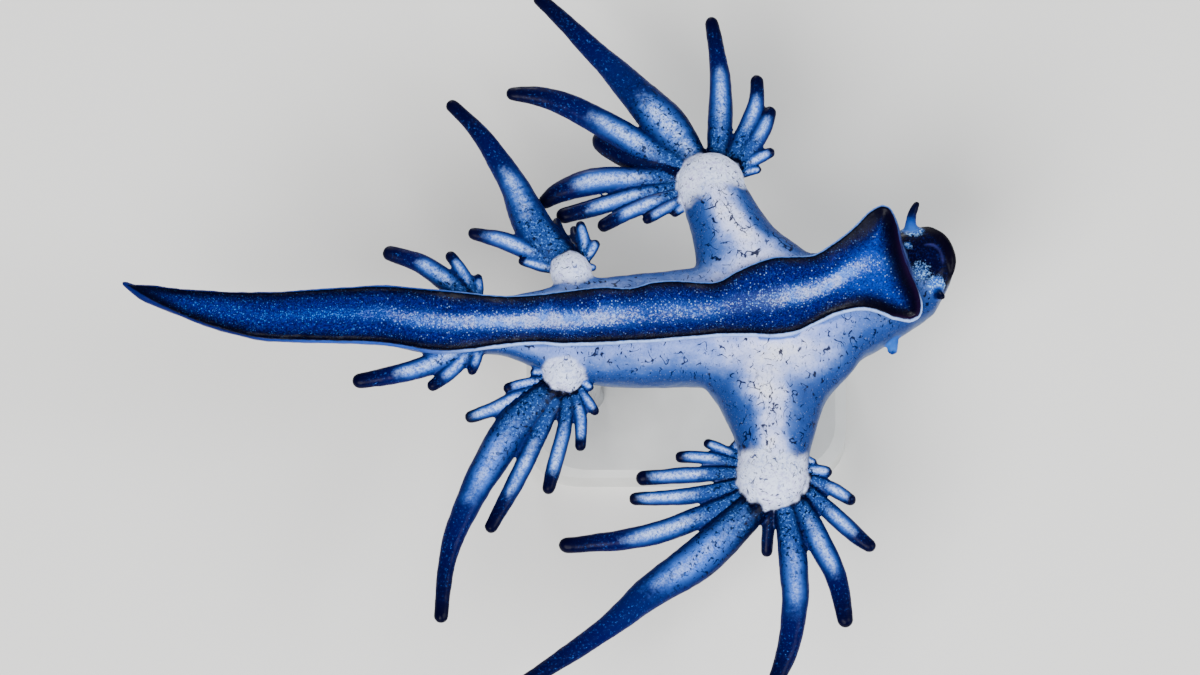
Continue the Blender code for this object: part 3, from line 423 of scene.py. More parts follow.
def foot_rows():
    """Rows of points across the foot, from its right edge to its left, tail to head."""
    share = [(1 - math.cos(math.pi * j / (FOOT_COLUMNS - 1))) / 2 for j in range(FOOT_COLUMNS)]
    ends = [((x, right), (x, left)) for x, right, left in FOOT_EDGES] + FOOT_FLARE
    rail = smooth_rows([(*right, *left) for right, left in ends], 4)
    rows = [[((1 - s) * r[0] + s * r[2], (1 - s) * r[1] + s * r[3]) for s in share] for r in rail]
    front = smooth_rows(FOOT_FRONT, 8)
    gone = np.concatenate([[0], np.cumsum([math.dist(a, b) for a, b in zip(front, front[1:])])])
    gone /= gone[-1]
    front = np.array(front)
    edge = [(float(np.interp(s, gone, front[:, 0])), float(np.interp(s, gone, front[:, 1])))
            for s in share]
    last = rows[-1]
    for step in range(1, FRONT_STEPS + 1):
        w = step / FRONT_STEPS
        rows.append([((1 - w) * a[0] + w * b[0], (1 - w) * a[1] + w * b[1])
                     for a, b in zip(last, edge)])
    return np.array(rows)


def foot_outline(rows):
    """Closed outline of the foot in plan: right edge, front edge, left edge, tail."""
    return np.vstack([rows[:, 0], rows[-1, 1:-1], rows[::-1, -1]])


def inside_distance(points, outline):
    """Distance in from a closed outline in plan; negative outside."""
    best = np.full(len(points), 1e9)
    crossings = np.zeros(len(points), int)
    for a, b in zip(outline, np.roll(outline, -1, axis=0)):
        span = b - a
        t = np.clip(((points - a) @ span) / max(span @ span, 1e-12), 0, 1)
        best = np.minimum(best, np.linalg.norm(points - a - t[:, None] * span, axis=1))
        straddles = (a[1] > points[:, 1]) != (b[1] > points[:, 1])
        rise = span[1] if abs(span[1]) > 1e-12 else 1e-12
        crossings += straddles & (points[:, 0] < a[0] + (points[:, 1] - a[1]) * span[0] / rise)
    return np.where(crossings % 2 == 1, best, -best)


def foot_level(x):
    return np.interp(x, *zip(*FOOT_LEVEL))


def foot_slab(flesh, rows):
    """The foot: a trough with a thin raised rim, on a flat underside sunk in the body."""
    count, columns = rows.shape[:2]
    plan = rows.reshape(-1, 2)
    inward = np.maximum(inside_distance(plan, foot_outline(rows)), 0)
    deeper = 1 + FRONT_DEEPER * smoothstep(7, 11, plan[:, 0])
    top = foot_level(plan[:, 0]) + np.interp(inward, *zip(*FOOT_PROFILE)) * deeper
    half = np.linalg.norm(rows[:, 0] - rows[:, -1], axis=1) / 2
    middle = (rows[:, :1] + rows[:, -1:]) / 2
    shrink = np.clip(1 - 0.14 / np.maximum(half, 0.2), 0.3, 1)[:, None, None]
    under = (middle + (rows - middle) * shrink).reshape(-1, 2)
    thick = np.repeat(np.minimum(FOOT_THICK, half * 0.6 + 0.05), columns)
    vertices = [(*p, z) for p, z in zip(plan, top)]
    vertices += [(*p, z) for p, z in zip(under, foot_level(under[:, 0]) - thick)]
    size, faces = count * columns, []
    for i in range(count - 1):
        for j in range(columns - 1):
            a, b = i * columns + j, (i + 1) * columns + j
            faces += [(a, b, b + 1, a + 1), (size + a, size + a + 1, size + b + 1, size + b)]
    rim = [i * columns for i in range(count)]
    rim += [(count - 1) * columns + j for j in range(1, columns)]
    rim += [i * columns + columns - 1 for i in range(count - 2, -1, -1)]
    rim += [j for j in range(columns - 2, 0, -1)]
    for a, b in zip(rim, rim[1:] + rim[:1]):
        faces.append((a, a + size, b + size, b))
    flesh.add(vertices, faces)


def arm_rail(side):
    return smooth_rows(ARMS[side], 6)


def add_arms(flesh, sides=48):
    for side in ARMS:
        rail = arm_rail(side)
        rings = [ring((x, y, z), (wide, 0, 0), (0, 0, high), sides)
                 for x, y, z, wide, high in rail]
        flesh.loft(rings, Vector(rail[0][:3]), Vector(rail[-1][:3]))


def add_hub(flesh, fan, share=1.0, levels=16, sides=36):
    centre, rings = Vector(fan["centre"]), []
    for i in range(1, levels):
        lift = math.pi * i / levels - math.pi / 2
        radius = fan["radius"] * share * math.cos(lift)
        rings.append(ring(centre + Vector((0, 0, fan["height"] * math.sin(lift))),
                          (radius, 0, 0), (0, radius, 0), sides))
    pole = Vector((0, 0, fan["height"]))
    flesh.loft(rings, centre - pole, centre + pole)


def ceras_rail(fan, entry, steps=24):
    """Middle line of a ceras as (point, half width, share of its length), round at the tip."""
    fall, _, *places = entry
    rows = np.array(smooth_rows(places, 8))
    gone = np.concatenate([[0], np.cumsum(np.hypot(*np.diff(rows[:, :2], axis=0).T))])
    length = float(gone[-1])
    centre = Vector(fan["centre"])
    low, sink = centre.z - fan["drop"], fall - fan["drop"]
    cap = places[-1][2] / 2 / length
    shares = [(1 - cap) * i / steps for i in range(steps)]
    shares += [1 - cap * (1 - math.sin(math.pi / 2 * i / CAP_STEPS)) for i in range(CAP_STEPS + 1)]
    rail = []
    for t in shares:
        x, y, width = (float(np.interp(t * length, gone, rows[:, k])) for k in range(3))
        half = width / 2 + SWELL
        if t > 1 - cap:
            half *= math.sqrt(max(0.0, 1 - ((t - 1 + cap) / cap) ** 2))
        rail.append((Vector((x, y, low - sink * t)), half, t))
    first, half, _ = rail[0]
    inner = first.lerp(Vector((centre.x, centre.y, low)), ROOT_DEPTH)
    return [(inner, half, 0.0)] + rail


def add_ceras(flesh, fan, entry, sides=18):
    rail, rings = ceras_rail(fan, entry), []
    wide = max(place[2] for place in entry[2:]) > WIDE
    for i, (point, half, _) in enumerate(rail[:-1]):
        slope = (rail[i + 1][0] - rail[max(i - 1, 0)][0]).normalized()
        across = slope.cross(Vector((0, 0, 1))).normalized()
        upward = across.cross(slope)
        thick = max(half * FLATNESS, min(half, LEAST_HALF)) if wide else half
        rings.append(ring(point, across * half, upward * thick, sides))
    flesh.loft(rings, rail[0][0], rail[-1][0])


def nearest_on_line(points, rail):
    """Distance out from a tapering line's surface, share along it, and the nearest point.

    The rail's rows are x, y, z and half width.
    """
    best = np.full(len(points), 1e9)
    share = np.zeros(len(points))
    nearest = np.zeros((len(points), 3))
    for i, (a, b) in enumerate(zip(rail, rail[1:])):
        span = b[:3] - a[:3]
        t = np.clip(((points - a[:3]) @ span) / max(span @ span, 1e-12), 0, 1)
        near = a[:3] + t[:, None] * span
        gap = np.linalg.norm(points - near, axis=1) - (a[3] + (b[3] - a[3]) * t)
        closer = gap < best
        best = np.where(closer, gap, best)
        share = np.where(closer, (i + t) / (len(rail) - 1), share)
        nearest[closer] = near[closer]
    return best, share, nearest


def places_and_normals(mesh):
    out = []
    for what in ("co", "normal"):
        values = np.zeros(len(mesh.vertices) * 3)
        mesh.vertices.foreach_get(what, values)
        out.append(values.reshape(-1, 3))
    return out


def noise_at(points, scale):
    return np.array([noise.noise(Vector(p) * scale) for p in points])


def strengthen(made, name, mask):
    made[name] = np.maximum(made[name], mask)


def mark_foot(made, points, normals, rows):
    """Distance in from the foot's edge, fall below its rim, and place across it."""
    inward = inside_distance(points[:, :2], foot_outline(rows))
    proud = points[:, 2] - foot_level(points[:, 0])
    made["foot_inward"], made["drop"] = np.clip(inward, -2, 3), np.clip(-proud, -1, 2)
    made["foot"] = (smoothstep(-0.62, -0.50, proud) * smoothstep(-0.16, -0.06, inward)
                    * smoothstep(-0.45, -0.2, normals[:, 2]))
    centre = rows[:, rows.shape[1] // 2]
    made["foot_middle"] = points[:, 1] - np.interp(points[:, 0], centre[:, 0], centre[:, 1])
    made["up"] = normals[:, 2]


def mark_fans(made, points):
    """Place along and round each ceras and beside its silver patch, then the pale hubs."""
    nearest = np.full(len(points), CERAS_NEAR)
    for fan in FANS.values():
        for entry in fan["cerata"]:
            rail = ceras_rail(fan, entry)
            line = np.array([(*point, half) for point, half, _ in rail])
            low, high = line[:, :3].min(0) - 1.2, line[:, :3].max(0) + 1.2
            near = np.where(((points > low) & (points < high)).all(axis=1))[0]
            gap, share, middle = nearest_on_line(points[near], line)
            mine = gap < nearest[near]
            chosen = near[mine]
            nearest[chosen] = gap[mine]
            away = points[chosen] - middle[mine]
            away /= np.maximum(np.linalg.norm(away, axis=1), 1e-6)[:, None]
            along = np.interp(share[mine] * (len(rail) - 1), np.arange(len(rail)),
                              [t for _, _, t in rail])
            start, end = entry[1] or (0.0, -1.0)
            for key, value in (
                    ("ceras", smoothstep(0.14, 0.04, gap[mine])), ("along", along),
                    ("begun", along - start), ("left", end - along),
                    ("girth", max(place[2] for place in entry[2:])), ("ridge", away @ PALE_SIDE)):
                made[key][chosen] = value
    for name, fan in FANS.items():
        if name.startswith("rear"):
            continue
        reach = (points - np.array(fan["centre"])) / (fan["radius"], fan["radius"], fan["height"])
        ragged = np.linalg.norm(reach, axis=1) + noise_at(points, 2.2) * 0.10
        strengthen(made, "hub", smoothstep(1.24, 0.98, ragged))
        made["ceras"] *= smoothstep(0.99, 1.07, ragged)


def mark_arms(made, points):
    """The arms, and the place across each from one edge, -1, to the other, 1."""
    for side, sign in (("left", -1), ("right", 1)):
        rail = np.array(arm_rail(side))
        rail = rail[np.argsort(rail[:, 1])]
        middle = np.interp(points[:, 1], rail[:, 1], rail[:, 0])
        across = (points[:, 0] - middle) / np.interp(points[:, 1], rail[:, 1], rail[:, 3])
        mask = smoothstep(0.0, 1.8, sign * (points[:, 1] - ARMS[side][1][1]))
        mask *= smoothstep(1.5, 1.05, np.abs(across))
        made["arm_side"] = np.where(mask > 0, across, made["arm_side"])
        strengthen(made, "arm", mask)


def mark_head(made, points, normals):
    """Feelers, lips, mouth, dark crown and the pale places on it."""
    for name, places in FEELERS.items():
        gap, share, _ = nearest_on_line(points, np.array(smooth_rows(places, 5)))
        mask = smoothstep(0.2, 0.04, gap)
        made["feeler_along"] = np.where(mask > made["feeler"], share, made["feeler_along"])
        strengthen(made, "feeler", mask)
        if name.startswith("oral"):
            strengthen(made, "tentacle", mask)
    for name, places, out, full in (("lip", LIP_ARC, 0.2, 0.02),
                                    ("inner_lip", INNER_LIP, 0.05, -0.02)):
        gap, _, _ = nearest_on_line(points, np.array(smooth_rows(places, 5)))
        made[name] = smoothstep(out, full, gap)
    made["mouth"] = smoothstep(0.75, 0.3, np.linalg.norm(points - np.array(MOUTH_CENTRE), axis=1))
    crown = smoothstep(0.9, 3.1, points[:, 1] + 0.5 * (points[:, 0] - 13.0))
    made["gloom"] = (crown * smoothstep(11.3, 12.0, points[:, 0] + 0.3 * (points[:, 1] - 3.0))
                     * smoothstep(-0.1, 0.35, normals[:, 2]))
    for place, size, dense in PALE_SPOTS:
        away = np.linalg.norm(points - np.array(place), axis=1) / size
        strengthen(made, "blush", dense * smoothstep(1.0, 0.25, away))


def mark_skin(mesh, rows):
    """Numbers that the skin's colours follow, one of each for every vertex."""
    points, normals = places_and_normals(mesh)
    made = defaultdict(lambda: np.zeros(len(points)))
    mark_foot(made, points, normals, rows)
    mark_fans(made, points)
    mark_arms(made, points)
    mark_head(made, points, normals)
    for name, values in made.items():
        attribute = mesh.attributes.new(name, "FLOAT", "POINT")
        attribute.data.foreach_set("value", values.astype(np.float32))


def shape_skin(mesh):
    """Hollow of the mouth and slight unevenness of living skin."""
    points, normals = places_and_normals(mesh)
    away = np.linalg.norm(points - np.array(MOUTH_CENTRE), axis=1)
    hollow = smoothstep(MOUTH_RADIUS * 1.6, 0, away) * MOUTH_DEPTH
    wander = sum(noise_at(points, scale) * swing for scale, swing in SKIN_SWINGS)
    points += normals * (wander - hollow)[:, None]
    mesh.vertices.foreach_set("co", points.ravel())
    mesh.update()


def build_skin():
    core = Flesh()
    rail = smooth_rows(BODY, 6)
    add_body(core, rail)
    add_arms(core)
    for fan in FANS.values():
        add_hub(core, fan)
    core = core.fuse("core", CORE_VOXEL, CORE_SMOOTHING)

    flesh = Flesh()
    flesh.add([v.co for v in core.data.vertices], [p.vertices for p in core.data.polygons])
    bpy.data.objects.remove(core)
    add_body(flesh, [(x, y, half * TAIL_SLIM, *rest) for x, y, half, *rest in rail
                     if x < TAIL_FROM])
    rows = foot_rows()
    foot_slab(flesh, rows)
    for fan in FANS.values():
        add_hub(flesh, fan, HUB_CROWN)
        for entry in fan["cerata"]:
            add_ceras(flesh, fan, entry)
    for points in FEELERS.values():
        flesh.tube(points)
    flesh.tube(LIP_ARC)
    flesh.tube(INNER_LIP, 12)
    skin = flesh.fuse("skin", VOXEL, SMOOTHING)
    shape_skin(skin.data)
    mark_skin(skin.data, rows)
    points, _ = places_and_normals(skin.data)
    points = (points + (-STAND_CENTRE[0], -STAND_CENTRE[1], FOOT_HEIGHT)) * MM
    skin.data.vertices.foreach_set("co", points.ravel())
    skin.data.update()
    skin.data.shade_smooth()
    return skin


def colour(red, green, blue):
    """Linear colour from the 0 to 255 values that a screen shows."""
    def linear(value):
        value /= 255
        return value / 12.92 if value <= 0.04045 else ((value + 0.055) / 1.055) ** 2.4
    return (linear(red), linear(green), linear(blue), 1.0)


class Paint:
    """Short hand for a material's nodes."""

    def __init__(self, name):
        self.material = bpy.data.materials.new(name)
        self.material.use_nodes = True
        self.tree = self.material.node_tree
        self.shader = self.tree.nodes["Principled BSDF"]
        self.place = self.scaled(self.node("ShaderNodeTexCoord").outputs["Object"], 1 / MM)

    def node(self, kind, inputs=(), **settings):
        node = self.tree.nodes.new(kind)
        for name, value in settings.items():
            setattr(node, name, value)
        for name, value in dict(inputs).items():
            self.put(node.inputs[name], value)
        return node

    def put(self, socket, value):
        """Links a socket, or sets a number or a colour given as 0 to 255 values."""
        if isinstance(value, bpy.types.NodeSocket):
            self.tree.links.new(value, socket)
        else:
            socket.default_value = colour(*value) if isinstance(value, tuple) else value

    def value(self, name):
        return self.node("ShaderNodeAttribute", attribute_name=name).outputs["Fac"]

    def values(self, *names):
        return [self.value(name) for name in names]

    def scaled(self, vector, scale):
        node = self.node("ShaderNodeVectorMath", {0: vector}, operation="MULTIPLY")
        node.inputs[1].default_value = scale if isinstance(scale, tuple) else (scale,) * 3
        return node.outputs[0]

    def math(self, operation, a, b=0.0):
        return self.node("ShaderNodeMath", {0: a, 1: b}, operation=operation).outputs[0]

    def add(self, a, b):
        return self.math("ADD", a, b)

    def less(self, a, b):
        return self.math("SUBTRACT", a, b)

    def most(self, a, b):
        return self.math("MAXIMUM", a, b)

    def size(self, value):
        return self.math("ABSOLUTE", value)

    def times(self, *values):
        total = values[0]
        for value in values[1:]:
            total = self.math("MULTIPLY", total, value)
        return total

    def step(self, value, low, high, out_low=0.0, out_high=1.0):
        """Smooth change from out_low to out_high as a value goes from low to high."""
        return self.node("ShaderNodeMapRange", {
            "Value": value, "From Min": low, "From Max": high, "To Min": out_low,
            "To Max": out_high}, interpolation_type="SMOOTHSTEP").outputs["Result"]

    def mix(self, factor, a, b):
        return self.node("ShaderNodeMix", {0: factor, 6: a, 7: b}, data_type="RGBA").outputs[2]

    def over(self, base, top, *shares):
        """Top laid over base as strongly as the product of those shares."""
        return self.mix(self.times(*shares), base, top)

    def ramp(self, value, stops):
        node = self.node("ShaderNodeValToRGB", {0: value})
        elements = node.color_ramp.elements
        while len(elements) < len(stops):
            elements.new(0.5)
        for element, (position, shade) in zip(elements, stops):
            element.position = position
            element.color = shade if len(shade) == 4 else colour(*shade)
        return node.outputs[0]

    def noise(self, scale, detail=2.0, roughness=0.5, place=None):
        return self.node("ShaderNodeTexNoise", {
            "Scale": scale, "Detail": detail, "Roughness": roughness,
            "Vector": place or self.place}).outputs["Fac"]

    def cells(self, scale):
        return self.node("ShaderNodeTexVoronoi", {"Scale": scale, "Vector": self.place}).outputs

    def specks(self, scale, density):
        """Round bright specks in that share of the cells of a pattern."""
        cells = self.cells(scale)
        parts = self.node("ShaderNodeSeparateColor", {0: cells["Color"]})
        chosen = self.step(self.less(density, parts.outputs[0]), -0.06, 0.06)
        return self.times(chosen, self.step(cells["Distance"], 0.50, 0.14))

    def wander(self, value, amount):
        """A noise value turned into a swing of that size about nothing."""
        return self.times(self.less(value, 0.5), amount)

    def level(self, value, low, high):
        """Even change from 0 to 1 as a value goes from low to high."""
        return self.node("ShaderNodeMapRange", {
            "Value": value, "From Min": low, "From Max": high}, clamp=True).outputs["Result"]

    def warped(self, amount):
        """Place pushed about by noise, for lines that aren't straight."""
        noisy = self.node("ShaderNodeTexNoise", {"Scale": 1.6, "Vector": self.place})
        pushed = self.node("ShaderNodeVectorMath", {0: noisy.outputs["Color"], 2: self.place},
                           operation="MULTIPLY_ADD")
        pushed.inputs[1].default_value = (amount,) * 3
        return pushed.outputs[0]

    def along(self, axis):
        return self.node("ShaderNodeSeparateXYZ", {0: self.place}).outputs[axis]

    def finish(self, base, roughness, height=None, strength=0.3, distance=0.00005):
        self.put(self.shader.inputs["Base Color"], base)
        self.put(self.shader.inputs["Roughness"], roughness)
        if height is not None:
            bump = self.node("ShaderNodeBump", {
                "Strength": strength, "Distance": distance, "Height": height})
            self.put(self.shader.inputs["Normal"], bump.outputs[0])
        return self.material


def foot_colour(p):
    """Royal blue trough with a grainy silver band, near black inside a pale rim.
    The near black is partly the foot's own dark margin and partly painted shade inside the raised
    rim; the pale rim is a painted highlight, with a painted shadow line in the groove under it.
    """
    inward, middle, drop = p.values("foot_inward", "foot_middle", "drop")
    x = p.along("X")
    fore = p.step(x, -17, -11.5)
    drift, grain, fine = p.noise(0.55, 2), p.noise(8.5, 4, 0.85), p.noise(15, 2, 0.7)
    edge = p.add(inward, p.wander(drift, 0.35))
    royal = p.mix(p.step(grain, 0.42, 0.66), (0, 0, 62), (6, 26, 122))
    sky = p.times(p.step(x, 5.5, 8.5), p.step(edge, 0.6, 1.5))
    royal = p.over(royal, p.mix(p.step(grain, 0.35, 0.6), (0, 18, 98), (14, 60, 172)), sky, 0.8)
    # Near black towards the edge: partly the foot's own dark margin, partly painted shade inside
    # the raised rim.
    blue = p.mix(p.step(edge, 0.18, 0.85), (0, 0, 16), royal)
    strength = p.ramp(p.level(x, *BAND_SPAN), [
        ((place - BAND_SPAN[0]) / (BAND_SPAN[1] - BAND_SPAN[0]), (bright,) * 3 + (1,))
        for place, bright in BAND_BRIGHT])
    wide = p.add(p.step(x, -24, -4, 0.34, 0.6), p.wander(drift, 0.5))
    offset = p.add(middle, p.wander(p.noise(0.33), 0.6))
    across = p.math("DIVIDE", p.size(offset), wide)
    band = p.times(p.step(across, 1.35, 0.15), strength)
    blue = p.over(blue, p.mix(fore, (2, 34, 128), (34, 74, 166)), band, 0.9)
    dull = p.times(p.step(x, 1.2, 2.6), p.step(x, 5.2, 4), band)
    blue = p.over(blue, (52, 44, 78), dull, 0.8)
    silver = p.mix(p.step(p.noise(1.3), 0.4, 0.6), (106, 150, 244), (190, 202, 252))
    silver = p.mix(fore, (10, 84, 196), silver)
    thick = p.add(grain, p.times(band, 0.3))
    blue = p.over(blue, silver, p.step(thick, 0.64, 0.84), p.step(edge, 0.2, 0.6, 0.1, 0.85))
    blue = p.over(blue, (70, 130, 220), p.step(p.add(fine, p.times(band, 0.1)), 0.63, 0.72),
                  p.step(edge, 0.1, 0.6, 0.1, 0.7))
    sparkle = p.specks(10.5, p.add(0.09, p.times(band, 0.4)))
    bright = p.mix(fore, (34, 128, 232), (150, 192, 255))
    blue = p.over(blue, bright, sparkle, p.step(edge, 0.2, 0.8), p.step(band, 0, 0.5, 0.55, 0.9))
    front = p.times(p.step(x, 6.8, 9.2), p.step(edge, 1.25, 0.45))
    plum = p.over((1, 0, 16), (18, 3, 34), p.step(inward, 0.45, 0.1), p.step(x, 9.4, 10.4))
    blue = p.over(blue, plum, front, 0.95)
    blue = p.over(blue, (0, 1, 20), p.step(x, -24.6, -26.6), 0.8)
    # Painted highlight: the pale rim line along the raised edge and its side wall, brighter on the
    # left side that faces the camera and key light, dimmer towards the tail.
    left = p.step(middle, 0.3, -0.3)
    pale = p.mix(left, (78, 122, 204), (160, 190, 252))
    pale = p.over(pale, (104, 144, 226), p.step(p.noise(4, 3, 0.7), 0.45, 0.65), 0.6)
    pale = p.mix(p.step(x, -13, -8.5), (30, 66, 150), pale)
    pale = p.mix(p.step(x, -17, -22), pale, (8, 20, 84))
    pale = p.over(pale, (34, 34, 84), p.step(x, 9.6, 10.4), p.step(middle, -2.2, -0.8))
    highlit_rim = p.add(inward, p.wander(p.noise(3), 0.06))
    highlit_rim = p.less(highlit_rim, p.times(p.less(1, left), 0.05))
    side = p.times(p.step(drop, 0.12, 0.2), p.step(inward, 0.34, 0.2))
    # Painted shadow: a darker line in the groove under the overhanging rim.
    groove_shade = p.times(p.step(drop, 0.46, 0.56), p.step(p.noise(0.9, 2), 0.35, 0.6, 0.35, 1))
    pale = p.mix(groove_shade, pale, (86, 108, 176))
    return p.mix(p.most(p.step(highlit_rim, 0.1, 0.04), side), blue, pale)


def strokes(p, scale, thin, share, stretch=(1, 1, 1)):
    """Short thin broken lines over that share of the skin, like creases with dark pigment."""
    place = p.scaled(p.warped(0.5), stretch)
    line = p.size(p.less(p.noise(scale, 1, 0.5, place), 0.5))
    broken = p.noise(scale * 1.7, 1, 0.5, p.scaled(place, (1, 1, -1)))
    return p.times(p.step(line, thin, thin * 0.35), p.step(broken, 0.66 - share, 0.72 - share))


def flank_colour(p):
    """White along the arms and chest, sky blue down the sides, with short dark creases."""
    up, arm, side = p.values("up", "arm", "arm_side")
    x = p.along("X")
    cloud = p.wander(p.noise(0.7, 3, 0.6), 0.45)
    out = p.size(p.add(side, p.wander(p.noise(0.9, 2), 0.5)))
    chest = p.most(arm, p.times(p.step(x, 0.5, 3), p.step(x, 7.6, 5.6)))
    lift = p.less(p.add(up, cloud), p.times(arm, p.step(out, 0.15, 0.7), 0.4))
    lift = p.less(lift, p.times(p.less(1, chest), 0.14))
    lift = p.less(lift, p.times(p.step(x, 6.5, 9), 0.16))
    under_rim = p.times(p.step(p.value("drop"), 1.1, 0.7), p.step(x, 10.6, 9.4),
                        p.step(p.value("foot_inward"), -0.35, -0.05))
    short = p.most(p.less(0.72, lift), 0)
    lift = p.add(lift, p.times(under_rim, short))
    shade = p.ramp(p.level(lift, -0.7, 1.1), [
        (0, (112, 120, 138)), (0.25, (64, 80, 118)), (0.4, (20, 44, 98)), (0.56, (20, 50, 112)),
        (0.68, (32, 66, 134)), (0.78, (72, 102, 170)), (0.87, (130, 152, 220)),
        (0.95, (204, 212, 255)), (1, (246, 246, 255))])
    grain = p.noise(9, 3, 0.75)
    tail = p.times(p.step(x, -8.8, -12.5), p.step(up, -0.45, 0.1))
    shade = p.mix(tail, shade, p.mix(p.step(x, -16, -22), (6, 18, 76), (1, 4, 40)))
    shade = p.over(shade, (44, 76, 150), p.step(grain, 0.48, 0.68), p.step(x, -20, -10), 0.35)
    light = p.times(p.step(grain, 0.42, 0.3), p.less(1, tail), 0.14)
    shade = p.mix(light, shade, (214, 224, 250))
    crease = p.most(strokes(p, 1.5, 0.03, 0.16), strokes(p, 3.2, 0.04, 0.08, (1.5, 0.7, 1)))
    centre = p.times(arm, p.step(out, 0.6, 0.15))
    crease = p.most(crease, p.times(centre, strokes(p, 2.2, 0.04, 0.15, (1.6, 0.6, 1))))
    seam = p.size(p.add(side, p.wander(p.noise(1.1, 4, 0.7), 0.5)))
    seam = p.times(arm, p.step(seam, 0.026, 0.008), p.step(p.noise(1.7), 0.42, 0.5))
    crease = p.most(crease, seam)
    return p.over(shade, (2, 4, 34), crease, p.step(up, 0.05, 0.45), 0.95)


def hub_colour(p):
    """White with a grey-lavender stipple and a few dark dashes."""
    stipple = p.step(p.noise(6, 4, 0.8), 0.46, 0.62)
    tint = p.step(p.noise(0.8, 2), 0.4, 0.62)
    shade = p.over((216, 226, 255), p.mix(tint, (116, 134, 198), (158, 146, 204)), stipple, 0.66)
    return p.over(shade, (16, 24, 74), strokes(p, 2.6, 0.04, 0.14), 0.9)


def ceras_colour(p):
    """Blue with a silver stripe on the upper side, dark speckled root and near-black tip.

    The stripe and the lighter blue beside it are partly the ceras's own silver and partly painted
    highlight on the side turned toward the camera; its white core is a painted highlight, and the
    cerata without a patch are painted dark as shade.
    """
    along, ridge, girth = p.values("along", "ridge", "girth")
    cloud, grain = p.noise(1.3, 3, 0.65), p.noise(8, 4, 0.8)
    t = p.add(along, p.wander(cloud, 0.1))
    small = p.step(girth, 1.1, 0.65)
    large_side = p.ramp(t, [
        (0, (0, 0, 18)), (0.1, (0, 4, 46)), (0.25, (2, 18, 76)), (0.5, (0, 12, 74)),
        (0.66, (0, 0, 62)), (0.85, (0, 0, 42)), (0.95, (0, 0, 32)), (1, (0, 0, 24))])
    small_side = p.ramp(t, [
        (0, (0, 0, 14)), (0.18, (0, 6, 50)), (0.4, (4, 24, 84)), (0.7, (4, 22, 80)),
        (0.8, (0, 4, 50)), (0.88, (0, 0, 34)), (1, (0, 0, 24))])
    side = p.mix(small, large_side, small_side)
    side = p.over(side, (16, 52, 138), p.step(grain, 0.52, 0.7), p.step(t, 0.98, 0.8), 0.45)
    begun = p.add(p.value("begun"), p.wander(cloud, 0.24))
    left = p.add(p.value("left"), p.wander(cloud, 0.14))
    reach = p.times(p.step(begun, -0.12, 0.12), p.step(left, -0.06, 0.12))
    rooted = p.times(p.step(t, 0, 0.06), p.step(begun, 0.06, -0.06), p.step(left, -0.2, 0.1))
    # Partly painted light: the side turned toward the camera is lighter blue and holds the silver,
    # which is partly the ceras's own colour and partly painted highlight.
    turned = p.add(ridge, p.wander(cloud, 0.16))
    sky = p.times(p.most(reach, p.times(rooted, 0.45)), p.step(turned, 0.4, 1))
    shade = p.over(side, (42, 86, 168), sky, 0.9)
    bluer = p.times(p.step(girth, 1, 1.5), p.step(p.along("Y"), 2, -2))
    bright = p.mix(bluer, (140, 180, 252), (90, 134, 226))
    silver = p.mix(p.step(grain, 0.38, 0.64), (40, 88, 186), bright)
    shade = p.over(shade, silver, reach, p.step(turned, 0.74, 1.02))
    # Painted highlight: a white core along the middle of the silver.
    core = p.times(reach, p.step(turned, 0.9, 1.06), p.step(grain, 0.34, 0.58))
    core = p.times(core, p.less(0.85, p.times(bluer, 0.45)))
    shade = p.mix(core, shade, (204, 220, 255))
    # Painted shade: cerata without a silver patch lie low under the others and are darkened.
    shade = p.over(shade, (0, 0, 34), p.step(p.value("left"), -0.9, -1), 0.8)
    flecks = p.step(p.noise(9, 3, 0.7, p.warped(0.3)), 0.54, 0.64)
    shade = p.over(shade, (84, 136, 214), rooted, flecks, p.step(turned, 0.55, 0.9), 0.85)
    dim = p.times(p.step(left, 0.05, -0.1), p.step(t, 0.95, 0.75), p.step(grain, 0.6, 0.7))
    shade = p.over(shade, (60, 120, 210), dim, 0.6)
    marks = p.most(p.step(p.noise(5, 2, 0.5, p.warped(0.3)), 0.59, 0.65),
                   strokes(p, 2.4, 0.04, 0.12))
    return p.over(shade, (0, 2, 28), marks, p.step(t, 0.6, 0.2), 0.9)


def feeler_colour(p):
    """Tentacles dark to the tip, rhinophores sky blue."""
    along = p.add(p.value("feeler_along"), p.wander(p.noise(4, 3, 0.7), 0.25))
    dark = p.ramp(along, [
        (0, (44, 96, 180)), (0.2, (24, 66, 152)), (0.36, (4, 18, 76)), (0.5, (0, 4, 40)),
        (1, (0, 0, 20))])
    sky = p.ramp(along, [
        (0, (40, 72, 134)), (0.45, (30, 78, 160)), (0.8, (36, 96, 184)), (1, (10, 42, 112))])
    return p.mix(p.value("tentacle"), sky, dark)


def head_colour(p, flank):
    """Near-black crown inside a black lip, with speckles and pale places."""
    lip, inner, mouth, gloom, blush = p.values("lip", "inner_lip", "mouth", "gloom", "blush")
    cloud = p.wander(p.noise(1.8, 3, 0.6), 0.7)
    grain = p.noise(9, 3, 0.75)
    deep = p.mix(p.step(grain, 0.5, 0.74), (0, 0, 24), (6, 20, 88))
    deep = p.over(deep, (70, 110, 190), p.step(grain, 0.68, 0.76), 0.5)
    dither = p.add(p.add(gloom, p.times(cloud, 0.7)), p.wander(grain, 1.6))
    shade = p.mix(p.step(dither, 0.25, 0.6), flank, deep)
    shade = p.over(shade, (2, 0, 40), mouth, 0.35)
    shade = p.over(shade, (50, 52, 116), inner, 0.6)
    pale = p.mix(p.step(grain, 0.48, 0.62), (24, 76, 164), (150, 200, 255))
    spot = p.add(p.add(blush, p.times(cloud, 0.5)), p.wander(grain, 1.2))
    shade = p.mix(p.step(spot, 0.3, 0.85), shade, pale)
    return p.mix(lip, shade, (2, 0, 16))


